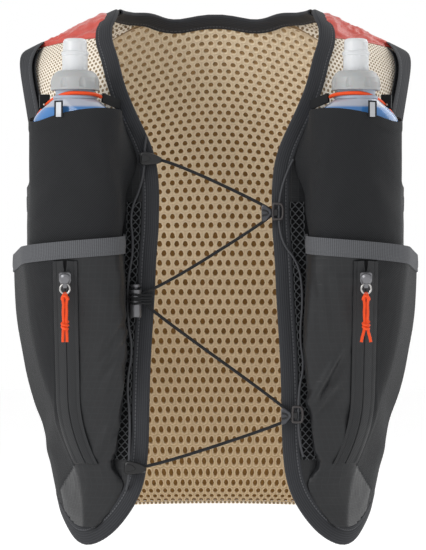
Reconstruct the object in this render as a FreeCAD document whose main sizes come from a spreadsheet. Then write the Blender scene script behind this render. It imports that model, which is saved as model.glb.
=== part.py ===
"""Running hydration vest with two soft flasks, modelled as a parametric FreeCAD document.

X runs to the wearer's left, Y to the wearer's back and Z up, in millimetres. The origin lies on the torso's
vertical axis, level with the lowest tips of the two fronts. Wearer's right is -X, wearer's left is +X.
"""
import FreeCAD, Part
import math
import os
import Sketcher
from FreeCAD import Placement, Rotation, Vector

doc = FreeCAD.newDocument("HydrationVest")
sizes = doc.addObject("Spreadsheet::Sheet", "Sizes")

# ------------------------------------------------------------------ driving dimensions
DIMENSIONS = {
    # the torso that the vest is cut for
    "chest_half_width": 156, "hem_half_width": 124, "shoulder_half_width": 168,
    "chest_half_depth": 108, "hem_half_depth": 98, "chest_height": 250, "waist_height": 220,
    "ridge_apex": 485, "ridge_slope": 0.5, "neck_round": 40, "section_power": 2.4, "shoulder_arch": 190,
    # the cut of the vest
    "neck_half_width": 85, "neckline_height": 437, "side_hem_height": 24, "back_hem_height": 15,
    "armhole_bottom": 268, "armhole_corner": 158, "yoke_drop": 27, "yoke_back_drop": 33, "yoke_back_half": 62,
    # cloth and tape
    "panel_thick": 1.2, "pocket_wall": 1.0, "tape_layer": 0.7, "binding_width": 14, "binding_slack": 1.1,
    "seam_gap": 0.3, "layer_gap": 0.6,
    # pockets
    "pocket_rim_height": 345, "pocket_foot_height": 182, "band_inner_height": 249, "band_outer_height": 230,
    "band_height": 14, "zip_pocket_foot": 30, "zip_pocket_fullness": 11, "rear_depth": 24,
    "rear_top_height": 392, "rear_foot_height": 34, "rear_half_width": 122, "rear_pocket_height": 215,
    "rear_zip_height": 318, "rear_zip_half_length": 62,
    # zips
    "zip_tape_width": 20, "zip_tape_thick": 0.8, "zip_centre": 119.5, "zip_top_height": 226,
    "zip_foot_height": 62, "slider_height": 214, "zip_slope": 0.452, "slider_travel": 82, "slider_width": 9.5,
    "slider_length": 12, "slider_depth": 4.6, "bail_radius": 4.2, "bail_wire": 0.8,
    "pull_cord": 2.4, "pull_length": 49, "knot_width": 7.6,
    # soft flask
    "flask_x": 113, "flask_y": -117, "flask_turn": 25, "bladder_half_width": 37, "bladder_half_depth": 22.5,
    "bladder_wall": 0.8, "bladder_foot": 190, "bladder_full_low": 232, "bladder_full_high": 336,
    "bladder_seam_half": 2.2, "collar_radius": 15.6, "collar_flange": 17.6, "collar_bore": 13.6,
    "collar_foot": 357.5, "cap_radius": 19.6, "cap_foot": 364.5, "cap_height": 15.5, "cap_wall": 2,
    "cap_grips": 8, "grip_radius": 5, "thread_gap": 0.3, "stem_radius": 7.2, "stem_height": 5,
    "valve_radius": 10.3, "valve_ring": 11, "valve_height": 25.8, "valve_mouth": 2.2, "pocket_ease": 2.0,
    # flask retainer
    "retainer_cord": 3, "retainer_height": 361.4, "tab_height": 11, "tab_width": 8.4, "tab_thick": 4.4,
    "keeper_width": 7.5, "keeper_thick": 1.6, "rim_tab_width": 7, "rim_tab_height": 10, "rim_tab_thick": 1.2,
    # lacing
    "lace_cord": 2.6, "daisy_cord": 2, "ladder_width": 12.5,
    "daisy_stand": 4.4, "ladder_top": 275, "ladder_foot": 66,
    "hook_tail": 4, "hook_reach": 14, "hook_post_at": 9.2, "hook_height": 14, "hook_thick": 5.4,
    "hook_post": 3.4, "hook_travel": 12, "cord_bore": 1.3,
    "lock_x": 64, "lock_foot": 182, "lace_level": 198.2, "lace_step": 3,
    "lock_radius": 5, "lock_length": 22, "lock_button": 3.4, "lock_button_out": 7.5, "lock_travel": 3.5,
    "lock_bore": 3.9, "spring_wire": 0.6, "spring_radius": 2.9, "spring_turns": 4,
}
for row, (alias, value) in enumerate(DIMENSIONS.items(), start=1):
    sizes.set(f"A{row}", alias)
    sizes.set(f"B{row}", str(value))
    sizes.setAlias(f"B{row}", alias)
doc.recompute()


def size(alias):
    """The present value of one cell of the sheet."""
    return float(sizes.get(alias))


RIGHT, LEFT = -1, 1
SIDES = {"right": RIGHT, "left": LEFT}
POWER = size("section_power")
CHEST = size("chest_height")
ARCH = size("shoulder_arch")
QUARTER = 90.0
nodes = []


def keep(obj, label):
    """Makes an object of the document a sub-part of its own."""
    obj.Label = label
    nodes.append(obj)
    return obj


def feature(label, shape, place=None):
    """A sub-part whose shape is worked out from the sheet."""
    obj = doc.addObject("Part::Feature", label)
    obj.Shape = shape
    if place is not None:
        obj.Placement = place
    return keep(obj, label)


# ------------------------------------------------------------------ the torso's surface
def ease(value):
    """0 to 1, smooth at both ends."""
    value = max(0.0, min(1.0, value))
    return value * value * (3 - 2 * value)


def mix(low, high, share):
    return low + (high - low) * share


def power(value, exponent):
    return math.copysign(abs(value) ** exponent, value)


def half_width(up):
    """Half the torso's width at a height; above the chest, up follows the cloth over the shoulder."""
    waist = size("waist_height")
    if up < waist:
        return size("chest_half_width") - (size("chest_half_width") - size("hem_half_width")) * (
            1 - up / waist) ** 1.6
    return mix(size("chest_half_width"), size("shoulder_half_width"), ease((up - CHEST) / ARCH * 0.9))


def half_depth(up):
    return mix(size("hem_half_depth"), size("chest_half_depth"), ease(up / CHEST))


def ridge(x):
    """Height of the shoulder's ridge at a distance from the neck."""
    return size("ridge_apex") - size("ridge_slope") * math.hypot(x, size("neck_round"))


def skin(turn, up):
    """A point of the torso. turn is 0 at the breastbone, 90 at the wearer's left side, 180 at the spine."""
    angle = math.radians(turn)
    x = half_width(up) * power(math.sin(angle), 2 / POWER)
    depth, height = 1.0, up
    if up > CHEST:
        climb = math.radians(min(QUARTER, (up - CHEST) / ARCH * QUARTER))
        height = CHEST + math.sin(climb) ** (2 / POWER) * (ridge(x) - CHEST)
        depth = max(0.0, math.cos(climb)) ** (2 / POWER)
    return Vector(x, -half_depth(up) * power(math.cos(angle), 2 / POWER) * depth, height)


def on_skin(x, z, back=False):
    """The (turn, up) of the place at that x and z on the front or the back."""
    up = z
    if z > CHEST:
        share = min(1.0, (z - CHEST) / (ridge(x) - CHEST))
        up = CHEST + ARCH * math.degrees(math.asin(share ** (POWER / 2))) / QUARTER
    turn = math.degrees(math.asin(min(1.0, (abs(x) / half_width(up)) ** (POWER / 2))))
    if back:
        turn = 180 - turn
    return Vector(math.copysign(turn, x), up, 0)


def outward(turn, up):
    """The torso's outward normal."""
    step, top = 0.4, CHEST + ARCH
    low, high = max(0.0, up - 1.5), min(top, up + 1.5)
    across = skin(turn + step, up) - skin(turn - step, up)
    along = skin(turn, high) - skin(turn, low)
    if across.Length < 1e-6 or along.Length < 1e-6:
        return Vector(0, 0, 1)
    normal = across.cross(along)
    normal.normalize()
    return normal


def raised(turn, up, lift):
    return skin(turn, up) + outward(turn, up) * lift


# ------------------------------------------------------------------ closed cloth and tape
def closed_solid(points, triangles):
    """A solid of flat facets."""
    shell = Part.Shape()
    shell.makeShapeFromMesh((points, triangles), 0.001)
    solid = Part.makeSolid(Part.makeShell(shell.Faces))
    if solid.Volume < 0:
        solid.reverse()
    return solid


def cloth(low, high):
    """The closed sheet between two like grids of points, low on the inside and high on the outside."""
    rows, columns = len(low), len(low[0])
    points = [p for grid in (low, high) for line in grid for p in line]
    count = rows * columns

    def at(layer, i, j):
        return layer * count + i * columns + j

    triangles = []

    def quad(a, b, c, d):
        triangles.extend([(a, b, c), (a, c, d)])

    for i in range(rows - 1):
        for j in range(columns - 1):
            quad(at(1, i, j), at(1, i, j + 1), at(1, i + 1, j + 1), at(1, i + 1, j))
            quad(at(0, i, j), at(0, i + 1, j), at(0, i + 1, j + 1), at(0, i, j + 1))
    for j in range(columns - 1):
        quad(at(0, 0, j), at(0, 0, j + 1), at(1, 0, j + 1), at(1, 0, j))
        quad(at(0, rows - 1, j), at(1, rows - 1, j), at(1, rows - 1, j + 1), at(0, rows - 1, j + 1))
    for i in range(rows - 1):
        quad(at(0, i, 0), at(1, i, 0), at(1, i + 1, 0), at(0, i + 1, 0))
        last = columns - 1
        quad(at(0, i, last), at(0, i + 1, last), at(1, i + 1, last), at(1, i, last))
    return closed_solid(points, triangles)


def swept(frames, profile, caps):
    """A solid of one flat-sided profile carried along frames of (point, sideways, outwards)."""
    corners = len(profile)
    points = [p + side * a + out * b for p, side, out in frames for a, b in profile]
    triangles = []
    for k in range(len(frames) - 1):
        for c in range(corners):
            d = (c + 1) % corners
            a0, a1 = k * corners + c, k * corners + d
            b0, b1 = a0 + corners, a1 + corners
            triangles.extend([(a0, a1, b1), (a0, b1, b0)])
    last = (len(frames) - 1) * corners
    for a, b, c in caps:
        triangles.append((a, c, b))
        triangles.append((last + a, last + b, last + c))
    return closed_solid(points, triangles)


def frames_along(places, toward):
    """Frames at (turn, up) places; toward is 1 where the cloth lies left of the way, seen from outside."""
    points = [skin(p.x, p.y) for p in places]
    frames = []
    for k, (place, point) in enumerate(zip(places, points)):
        way = points[min(k + 1, len(points) - 1)] - points[max(k - 1, 0)]
        out = outward(place.x, place.y)
        side = out.cross(way) * toward
        side.normalize()
        frames.append((point, side, out))
    return frames


def smooth(points, count):
    """Evenly spaced places along the smooth curve through a few (turn, up) points."""
    curve = Part.BSplineCurve()
    curve.interpolate(points)
    return curve.discretize(Number=count)


def folded_tape():
    """Section of the edge tape: a fold round the cloth's edge with a leaf on each face."""
    leaf, slack = size("tape_layer"), size("binding_slack")
    low, high = -slack - leaf, size("panel_thick") + slack + leaf
    width = size("binding_width")
    outline = [(0, low), (width, low), (width, low + leaf), (leaf, low + leaf),
               (leaf, high - leaf), (width, high - leaf), (width, high), (0, high)]
    caps = [(0, 1, 2), (0, 2, 3), (0, 3, 4), (0, 4, 7), (4, 5, 6), (4, 6, 7)]
    return outline, caps


def flat_tape(near, far, low, high):
    """Section of a single flat tape."""
    return [(near, low), (far, low), (far, high), (near, high)], [(0, 1, 2), (0, 2, 3)]


# ------------------------------------------------------------------ outlines of the cut
NECK = size("neck_half_width")
FRONT_EDGE = [(NECK, ridge(NECK)), (80, 398), (71, 364), (59, 337), (49, 312), (45.5, 286), (46.5, 244),
              (49, 200), (52, 150), (53.5, 100), (55.5, 62), (61, 40), (74, 20), (92, 5), (111, 0.5),
              (122, 9)]
ARMHOLE_CORNER = size("armhole_corner")
ARMHOLE_FRONT = [(ARMHOLE_CORNER, ridge(ARMHOLE_CORNER)), (160, 385), (156, 362), (151, 335), (149, 308)]


def front_edge(side, count):
    """The front's free edge, from the shoulder down to the tip and out to the side seam."""
    points = [on_skin(x, z) for x, z in FRONT_EDGE]
    points.append(Vector(QUARTER, size("side_hem_height"), 0))
    return [Vector(side * p.x, p.y, 0) for p in smooth(points, count)]


def armhole(side, count):
    """Round the armhole, from the shoulder's ridge down the front, under the arm and up the back."""
    front = [on_skin(x, z) for x, z in ARMHOLE_FRONT]
    low = size("armhole_bottom")
    under = [Vector(74, low + 9, 0), Vector(QUARTER, low, 0), Vector(106, low + 9, 0)]
    back = [Vector(180 - p.x, p.y, 0) for p in reversed(front)]
    return [Vector(side * p.x, p.y, 0) for p in smooth(front + under + back, count)]


def neckline(count):
    """The back of the neck, level from ridge to ridge."""
    level = size("neckline_height")
    xs = [NECK, 74, 52, 28, 0.01]
    half = [on_skin(NECK, ridge(NECK), back=True)]
    half += [on_skin(x, min(level, ridge(x)), back=True) for x in xs[1:]]
    other = [Vector(360 - p.x, p.y, 0) for p in reversed(half[:-1])]
    return smooth(half[:-1] + [Vector(180, half[-1].y, 0)] + other, count)


def back_hem(count):
    """The back's lower edge, from side seam to side seam."""
    side, middle = size("side_hem_height"), size("back_hem_height")
    spots = [(90, side), (110, mix(side, middle, 0.6)), (140, middle), (180, middle),
             (220, middle), (250, mix(side, middle, 0.6)), (270, side)]
    return smooth([Vector(a, b, 0) for a, b in spots], count)


def edge_at(path, up):
    """The turn at which a falling or rising path of places passes a height."""
    for a, b in zip(path, path[1:]):
        if min(a.y, b.y) <= up <= max(a.y, b.y) and a.y != b.y:
            return mix(a.x, b.x, (up - a.y) / (b.y - a.y))
    return path[0].x if abs(path[0].y - up) < abs(path[-1].y - up) else path[-1].x


def front_turn(up):
    """Turn of the front's free edge at a height, on the wearer's left."""
    return edge_at(FRONT_PATH[:FRONT_TIP + 1], up)


def arm_turn(up):
    """Turn of the armhole's front edge, or of the side seam below it."""
    if up <= size("armhole_bottom"):
        return QUARTER
    return edge_at(ARM_PATH, up)


FRONT_PATH = front_edge(LEFT, 120)
FRONT_TIP = min(range(len(FRONT_PATH)), key=lambda k: FRONT_PATH[k].y)
ARM_FULL = armhole(LEFT, 160)
ARM_PATH = [p for p in ARM_FULL if p.x <= QUARTER + 0.5]
TOP = CHEST + ARCH
EDGE_INSET = size("tape_layer") + size("seam_gap") + 2.2
INSET_TURN = math.degrees(EDGE_INSET / 130)


def yoke_front(x):
    """Height of the yoke's front seam: it meets the ridge at the armhole and drops towards the neck."""
    share = (ARMHOLE_CORNER - abs(x)) / (ARMHOLE_CORNER - NECK)
    return ridge(x) - size("yoke_drop") * max(0.04, min(1.0, share))


def yoke_back(share):
    """(turn, up) along the yoke's back seam, from the neckline out to the armhole."""
    near = on_skin(size("yoke_back_half"), size("neckline_height") - EDGE_INSET, back=True)
    corner = ARMHOLE_CORNER - 10
    far = on_skin(corner, ridge(corner) - size("yoke_back_drop"), back=True)
    return Vector(mix(near.x, far.x, share), mix(near.y, far.y, share), 0)


def cloth_rows(bottom, top, count):
    """Heights of a panel's rows along its side, closer together where the armhole begins."""
    under = size("armhole_bottom")
    lower = [mix(bottom, under - 8, k / count) for k in range(count + 1)]
    upper = [mix(under + 2, top, (k / count) ** 1.5) for k in range(count + 1)]
    return [(up - bottom) / (top - bottom) for up in lower + upper]


def arm_inset(up):
    """How far the cloth stops short of the armhole's edge, as a turn."""
    return INSET_TURN * mix(0.1, 1.0, ease((up - size("armhole_bottom") + 6) / 8))


def panel_place(u, v):
    """(turn, up) on the front panel; u from its free edge to the side, v from the hem to the yoke."""
    tip, seam = FRONT_PATH[FRONT_TIP], size("side_hem_height")
    top_in = on_skin(NECK, yoke_front(NECK))
    top_out = on_skin(ARMHOLE_CORNER, yoke_front(ARMHOLE_CORNER))
    up_in, up_out = mix(tip.y, top_in.y, v), mix(seam, top_out.y, v)
    turn_in = front_turn(up_in) + INSET_TURN
    turn_out = arm_turn(up_out) - arm_inset(up_out)
    return Vector(mix(turn_in, turn_out, u), mix(up_in, up_out, u) + EDGE_INSET * (1 - v), 0)


def back_top(share):
    """(turn, up) along the back panel's upper edge, from the spine out to the armhole."""
    flat = 0.42
    if share > flat:
        return yoke_back((share - flat) / (1 - flat))
    x = max(0.01, size("yoke_back_half") * share / flat)
    return on_skin(x, size("neckline_height") - EDGE_INSET, back=True)


def back_place(u, v):
    """(turn, up) on the back panel; u across from the wearer's left to right, v from hem to neckline."""
    share = abs(2 * u - 1)
    bottom = mix(size("back_hem_height"), size("side_hem_height"), ease((share - 0.45) / 0.55)) + EDGE_INSET
    top, corner = back_top(share), yoke_back(1)
    edge_up = mix(size("side_hem_height") + EDGE_INSET, corner.y, v)
    edge = 180 - arm_turn(edge_up) + arm_inset(edge_up)
    turn = mix(mix(180, QUARTER, share), top.x, v) + (edge - mix(QUARTER, corner.x, v)) * share ** 3
    return Vector(turn if u < 0.5 else 360 - turn, mix(bottom, top.y, v) - size("seam_gap") * v, 0)


def yoke_place(u, v):
    """(turn, up) on a shoulder yoke; u from the neck to the arm, v over the ridge from front to back."""
    inner_x, outer_x = NECK + EDGE_INSET, ARMHOLE_CORNER - EDGE_INSET
    if v <= 0.5:
        share = 2 * v
        inner, outer = on_skin(inner_x, yoke_front(inner_x)), on_skin(outer_x, yoke_front(outer_x))
        inner = Vector(ridge_turn(inner_x, mix(inner.y, TOP, share)), mix(inner.y, TOP, share), 0)
        outer = Vector(ridge_turn(outer_x, mix(outer.y, TOP, share)), mix(outer.y, TOP, share), 0)
    else:
        share = 2 * v - 1
        near, far = yoke_back(0), yoke_back(1)
        far_up = mix(TOP, far.y, share)
        level = size("neckline_height") - EDGE_INSET
        x = mix(inner_x, size("yoke_back_half"), share ** 0.5)
        neck = on_skin(x, min(ridge(x), mix(ridge(inner_x), level, min(1, share * 4))), back=True)
        inner = near if share == 1 else neck
        outer = Vector(180 - ridge_turn(mix(outer_x, ARMHOLE_CORNER - 10, share), far_up), far_up, 0)
    over = size("seam_gap") * 4 * abs(1 - 2 * v)
    spot = Vector(mix(inner.x, outer.x, u), mix(inner.y, outer.y, u) + over, 0)
    if v > 0.5:
        spot += (yoke_back(u) - (near * (1 - u) + far * u)) * share ** 3
    return spot


def ridge_turn(x, up):
    return math.degrees(math.asin(min(1.0, (x / half_width(up)) ** (POWER / 2))))


def skin_sheet(place, columns, rows, low, high, side=1):
    """A closed sheet of cloth over the skin, between two distances from it."""
    spots = [[place(u, v) for u in columns] for v in rows]
    return cloth([[raised(side * p.x, p.y, low) for p in line] for line in spots],
                 [[raised(side * p.x, p.y, high) for p in line] for line in spots])


def evenly(count):
    return [k / count for k in range(count + 1)]


def build_shell():
    """Panels, yokes and edge tapes."""
    thick = size("panel_thick")
    back_rows = cloth_rows(size("side_hem_height") + EDGE_INSET, yoke_back(1).y, 5)
    feature("back_panel", skin_sheet(back_place, evenly(20), back_rows, 0, thick))
    tip_rows = cloth_rows(size("side_hem_height"), on_skin(ARMHOLE_CORNER, yoke_front(ARMHOLE_CORNER)).y, 6)
    outline, caps = folded_tape()
    for word, side in SIDES.items():
        feature(f"front_panel_{word}", skin_sheet(panel_place, evenly(8), tip_rows, 0, thick, side))
        feature(f"shoulder_yoke_{word}", skin_sheet(yoke_place, evenly(5), evenly(8), 0, thick, side))
        feature(f"front_binding_{word}", swept(frames_along(front_edge(side, 27), side), outline, caps))
        feature(f"armhole_binding_{word}", swept(frames_along(armhole(side, 23), -side), outline, caps))
    feature("neck_binding", swept(frames_along(neckline(17), -1), outline, caps))
    feature("hem_binding", swept(frames_along(back_hem(17), 1), outline, caps))


# ------------------------------------------------------------------ pockets
FLASK = Vector(size("flask_x"), size("flask_y"), 0)
FLASK_TURN = size("flask_turn")


def oval(centre, turn, across, deep, count=28):
    """Points round an ellipse whose long axis is turned in the XY plane."""
    c, s = math.cos(math.radians(turn)), math.sin(math.radians(turn))
    ring = []
    for k in range(count):
        a = 2 * math.pi * k / count
        x, y = across * math.cos(a), deep * math.sin(a)
        ring.append(Vector(centre.x + x * c - y * s, centre.y + x * s + y * c, 0))
    return ring


def taut(points, first, last):
    """The way that stretched cloth takes round some points, from first to last."""
    spots = sorted(points + [first, last], key=lambda p: (p.x, p.y))

    def chain(order):
        way = []
        for p in order:
            while len(way) > 1 and (way[-1] - way[-2]).cross(p - way[-2]).z <= 0:
                way.pop()
            way.append(p)
        return way[:-1]

    ring = chain(spots) + chain(reversed(spots))
    start = min(range(len(ring)), key=lambda k: (ring[k] - first).Length)
    ring = ring[start:] + ring[:start]
    stop = min(range(len(ring)), key=lambda k: (ring[k] - last).Length)
    return ring[:stop + 1]


def spaced(way, count):
    """Points evenly spaced along a way of straight runs, with the outward direction at each."""
    total = sum((b - a).Length for a, b in zip(way, way[1:]))
    points, walked, k = [], 0.0, 0
    for n in range(count + 1):
        goal = total * n / count
        while k < len(way) - 2 and walked + (way[k + 1] - way[k]).Length < goal:
            walked += (way[k + 1] - way[k]).Length
            k += 1
        step = way[k + 1] - way[k]
        points.append(way[k] + step * min(1.0, (goal - walked) / step.Length))
    facing = []
    for n in range(count + 1):
        run = points[min(n + 1, count)] - points[max(n - 1, 0)]
        facing.append(Vector(run.y, -run.x, 0).normalize())
    return points, facing


def up_at(turn, z):
    """The up of the place at that turn and true height."""
    up = z
    for _ in range(5 if z > CHEST else 0):
        x = half_width(up) * power(math.sin(math.radians(turn)), 2 / POWER)
        share = min(1.0, (z - CHEST) / (ridge(x) - CHEST))
        up = CHEST + ARCH * math.degrees(math.asin(share ** (POWER / 2))) / QUARTER
    return up


def free_x(z):
    """Distance of the front's free edge from the middle, at a height."""
    up = z
    for _ in range(4 if z > CHEST else 0):
        up = up_at(front_turn(up), z)
    return skin(front_turn(up), up).x


def pocket_seam(z):
    """Distance of the pockets' inner seam from the middle, beside the ladder tape or the binding."""
    edge = size("binding_width")
    inset = mix(edge + size("ladder_width") + 1, edge + 1.5, ease((z - 277) / 35))
    return free_x(z) + inset + size("seam_gap")


def skin_line(z, lift, inset=0.0, count=14):
    """Level line over the skin from the pockets' inner seam to the armhole or side seam."""
    start = on_skin(pocket_seam(z) + inset, z).x
    edge = arm_turn(up_at(start, z)) if z > size("armhole_bottom") else QUARTER
    stop = edge - math.degrees(size("binding_width") / 150) * ease((z - size("armhole_bottom") + 20) / 20) - 2
    line = []
    for k in range(count + 1):
        turn = mix(start, stop, k / count)
        p = raised(turn, up_at(turn, z), lift)
        line.append(Vector(p.x, p.y, 0))
    return line


def flask_reach(z):
    """Half width and half depth that the flask needs at a height, on its way in and out."""
    share = (z + 5 - size("bladder_foot")) / (size("bladder_full_low") - size("bladder_foot"))
    if share <= 0:
        return None
    round_share = math.sin(math.radians(QUARTER) * min(1.0, share))
    return (mix(0.8, 1.0, round_share) * size("bladder_half_width") + size("pocket_ease"),
            mix(size("bladder_seam_half"), size("bladder_half_depth"), round_share) + size("pocket_ease"))


def flask_pocket_way(z):
    under = size("pocket_wall") + size("layer_gap") * 2
    base = skin_line(z, size("panel_thick") + size("layer_gap"), under * (1 - ease((z - 249) / 20)))
    reach = flask_reach(z)
    around = oval(FLASK, FLASK_TURN, *reach) if reach else []
    return taut(base + around, base[0], base[-1])


def zip_pocket_way(z):
    """The lower pocket stands off what the flask pocket holds and closes towards the hem."""
    both = ease((z - 150) / 40)
    lift = size("panel_thick") + size("layer_gap") + both * (size("pocket_wall") + size("layer_gap"))
    base = skin_line(z, lift)
    full_deep = size("bladder_half_depth") + size("pocket_wall") + size("pocket_ease") + 2.4
    knee, top = 110, size("band_outer_height")
    deep = mix(9, full_deep, min(1, (z - knee) / (top - knee))) if z > knee else mix(
        1.5, 9, max(0, (z - size("zip_pocket_foot")) / (knee - size("zip_pocket_foot"))))
    wide = mix(16, size("bladder_half_width") + 6, ease((z - size("zip_pocket_foot")) / 150))
    place = on_skin(size("flask_x") - 12 - 10 * (1 - ease(z / 150)), z)
    centre = raised(place.x, place.y, lift + deep)
    around = oval(Vector(centre.x, centre.y, 0), FLASK_TURN, wide, deep)
    over_flask = size("bladder_half_depth") + 3 - size("zip_slope") * max(0.0, size("slider_height") - z)
    if over_flask > 1:
        grow = ease((z - size("slider_height") + 54) / 40)
        around += oval(FLASK, FLASK_TURN, (size("bladder_half_width") + 3) * mix(0.6, 1, grow), over_flask)
    side = math.radians(QUARTER * ease((z - 60) / 120))
    outer = raised(78, z, lift + size("zip_pocket_fullness") * math.sin(side))
    around.append(Vector(outer.x, outer.y, 0))
    return taut(base + around, base[0], base[-1])


WAYS = {}


def pocket_point(way, u, z, lift, count=18):
    """A point on a pocket's wall, at a share u of the way from its inner seam, raised by lift."""
    key = (way.__name__, round(z, 3))
    if key not in WAYS:
        WAYS[key] = spaced(way(z), count)
    points, facing = WAYS[key]
    k = min(int(u * count), count - 1)
    share = u * count - k
    p = points[k] * (1 - share) + points[k + 1] * share
    n = facing[k] * (1 - share) + facing[k + 1] * share
    n.normalize()
    return Vector(p.x + n.x * lift, p.y + n.y * lift, z)


def pocket_at(way, x, z, lift):
    """The point of a pocket's wall at that x, on its front."""
    low, high = 0.0, 0.75
    for _ in range(24):
        middle = (low + high) / 2
        if pocket_point(way, middle, z, lift).x < x:
            low = middle
        else:
            high = middle
    return pocket_point(way, low, z, lift)


def pocket_sheet(side, way, columns, rows, height, low, high):
    """A closed sheet of pocket cloth; height(u, v) gives each point's height."""
    def grid(lift):
        lines = []
        for v in rows:
            line = [pocket_point(way, u, height(u, v), lift) for u in columns]
            lines.append([Vector(side * p.x, p.y, p.z) for p in line])
        return lines

    return cloth(grid(low), grid(high))


def band_low(u):
    return mix(size("band_inner_height"), size("band_outer_height"), u) - size("band_height")


def zip_x(z):
    """The zip runs straight down and bends towards the front edge at its foot."""
    bend = max(0.0, 118 - z)
    return size("zip_centre") - 0.0045 * bend ** 2


def zip_tape(side):
    half = size("zip_tape_width") / 2
    tall = [mix(size("zip_foot_height"), size("zip_top_height"), k / 12) for k in range(13)]

    def grid(lift):
        return [[pocket_at(zip_pocket_way, zip_x(z) + half * s, z, lift) for s in (-1, -0.5, 0, 0.5, 1)]
                for z in tall]

    low = [[Vector(side * p.x, p.y, p.z) for p in line] for line in grid(ZIP_SEAT)]
    high = [[Vector(side * p.x, p.y, p.z) for p in line] for line in grid(ZIP_FACE)]
    return cloth(low, high)


ZIP_SEAT = size("pocket_wall") + size("seam_gap") * 3.5
ZIP_FACE = ZIP_SEAT + size("zip_tape_thick")


def rim_tab(side):
    """Folded tab standing on the flask pocket's rim."""
    rim, half = size("pocket_rim_height"), size("rim_tab_width") / 2
    middle = size("flask_x") + 12
    lows = size("pocket_wall") + size("seam_gap")

    def grid(lift):
        lines = []
        for z in (rim - 3, rim, rim + size("rim_tab_height") - 3):
            line = [pocket_at(flask_pocket_way, middle + half * s, min(z, rim), lift) for s in (-1, 0, 1)]
            lines.append([Vector(side * p.x, p.y, z) for p in line])
        return lines

    return cloth(grid(lows), grid(lows + size("rim_tab_thick")))


def build_pockets():
    wall, foot, rim = size("pocket_wall"), size("pocket_foot_height"), size("pocket_rim_height")
    flask_rows = [0, 0.05, 0.13, 0.31, 0.49, 0.57, 0.66, 0.79, 1]
    columns = evenly(18)
    for word, side in SIDES.items():
        feature(f"flask_pocket_{word}", pocket_sheet(
            side, flask_pocket_way, columns, flask_rows, lambda u, v: mix(foot, rim, v), 0, wall))
        feature(f"zip_pocket_{word}", pocket_sheet(
            side, zip_pocket_way, columns, evenly(9),
            lambda u, v: mix(size("zip_pocket_foot") + 10 * ease(u), band_low(u), v), 0, wall))
        feature(f"pocket_band_{word}", pocket_sheet(
            side, zip_pocket_way, columns, (0, 1),
            lambda u, v: band_low(u) + size("seam_gap") + size("band_height") * v, 0, wall * 2))
        feature(f"zip_tape_{word}", zip_tape(side))
        feature(f"rim_tab_{word}", rim_tab(side))


# ------------------------------------------------------------------ the back
REAR_FACE = size("chest_half_depth") + size("rear_depth") - 4


def rear_half(z):
    taper = mix(0.95, 1.0, ease(z / 120)) * mix(1.0, 0.8, ease((z - 280) / 110))
    return size("rear_half_width") * taper


def rear_point(u, z, lift):
    """A point of the rear compartment's wall: it lies on the back at its edges and stands off it between."""
    x = mix(-1, 1, u) * rear_half(z)
    place = on_skin(max(abs(x), 0.01), z, back=True)
    seat = raised(place.x, place.y, size("panel_thick") + size("layer_gap") * 1.8)
    top, foot = size("rear_top_height"), size("rear_foot_height")
    edge = min(rear_half(z) - abs(x), top - z, (z - foot) * 1.2)
    share = ease(edge / 54)
    y = mix(seat.y, REAR_FACE, share) + lift
    return Vector(x, y, z)


def rear_sheet(low, high, columns, tall, bulge):
    def grid(lift):
        return [[rear_point(u, z, lift + bulge(u, z)) for u in columns] for z in tall]

    return cloth(grid(low), grid(high))


def rear_bulge(u, z):
    """The open pocket stands off the compartment towards its mouth."""
    edge = rear_half(z) * (1 - abs(2 * u - 1))
    slack = 8 * ease(edge / 50) * ease((z - size("rear_foot_height")) / 150)
    return size("pocket_wall") + size("layer_gap") * 1.5 + slack


def build_back():
    wall, foot, top = size("pocket_wall"), size("rear_foot_height"), size("rear_top_height")
    mouth, band = size("rear_pocket_height"), size("band_height")
    columns = [0, 0.06, 0.12, 0.19, 0.27, 0.42, 0.58, 0.73, 0.81, 0.88, 0.94, 1]
    tall = [mix(foot, top, k) for k in (0, 0.05, 0.1, 0.16, 0.4, 0.7, 0.8, 0.86, 0.93, 1)]
    feature("rear_compartment", rear_sheet(0, wall, columns, tall, lambda u, z: 0))
    low_rows = [mix(foot + 2, mouth, k) for k in (0, 0.1, 0.2, 0.3, 0.6, 1)]
    feature("rear_pocket", rear_sheet(0, wall, columns, low_rows, rear_bulge))
    hem_rows = [mouth + size("seam_gap"), mouth + band]
    feature("rear_pocket_hem", rear_sheet(0, wall * 2, columns, hem_rows, rear_bulge))
    half, tape = size("rear_zip_half_length"), size("zip_tape_width")
    rear_tape = doc.addObject("Part::Box", "RearZipTape")
    rear_tape.setExpression("Length", "2 * Sizes.rear_zip_half_length + 16")
    rear_tape.setExpression("Width", "Sizes.zip_tape_thick")
    rear_tape.setExpression("Height", "Sizes.zip_tape_width")
    rear_tape.Placement.Base = Vector(-half - 8, REAR_FACE + ZIP_SEAT, size("rear_zip_height") - tape / 2)
    keep(rear_tape, "rear_zip_tape")


# ------------------------------------------------------------------ sketches and turned or padded pieces
def worth(text):
    """The present value of a sum such as cap_radius - cap_wall * 2."""
    total, sign = 0.0, 1
    for part in text.replace("- ", "+ -").split("+ "):
        factor = -1 if part.startswith("-") else 1
        product = float(factor)
        for word in part.lstrip("-").strip().split(" * "):
            product *= size(word) if word in DIMENSIONS else float(word)
        total += sign * product
    return total


def bound(text):
    """The same sum as an expression over the sheet's cells."""
    words = text.split(" ")
    return " ".join(f"Sizes.{w}" if w in DIMENSIONS else w for w in words)


def new_body(label):
    return keep(doc.addObject("PartDesign::Body", label), label)


def new_sketch(body, name, role="XY_Plane", lift=None):
    sketch = body.newObject("Sketcher::SketchObject", f"{body.Name}_{name}")
    plane = [f for f in body.Origin.OriginFeatures if f.Role == role][0]
    sketch.AttachmentSupport = [(plane, "")]
    sketch.MapMode = "FlatFace"
    if lift:
        sketch.setExpression("AttachmentOffset.Base.z", bound(lift))
    return sketch


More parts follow.
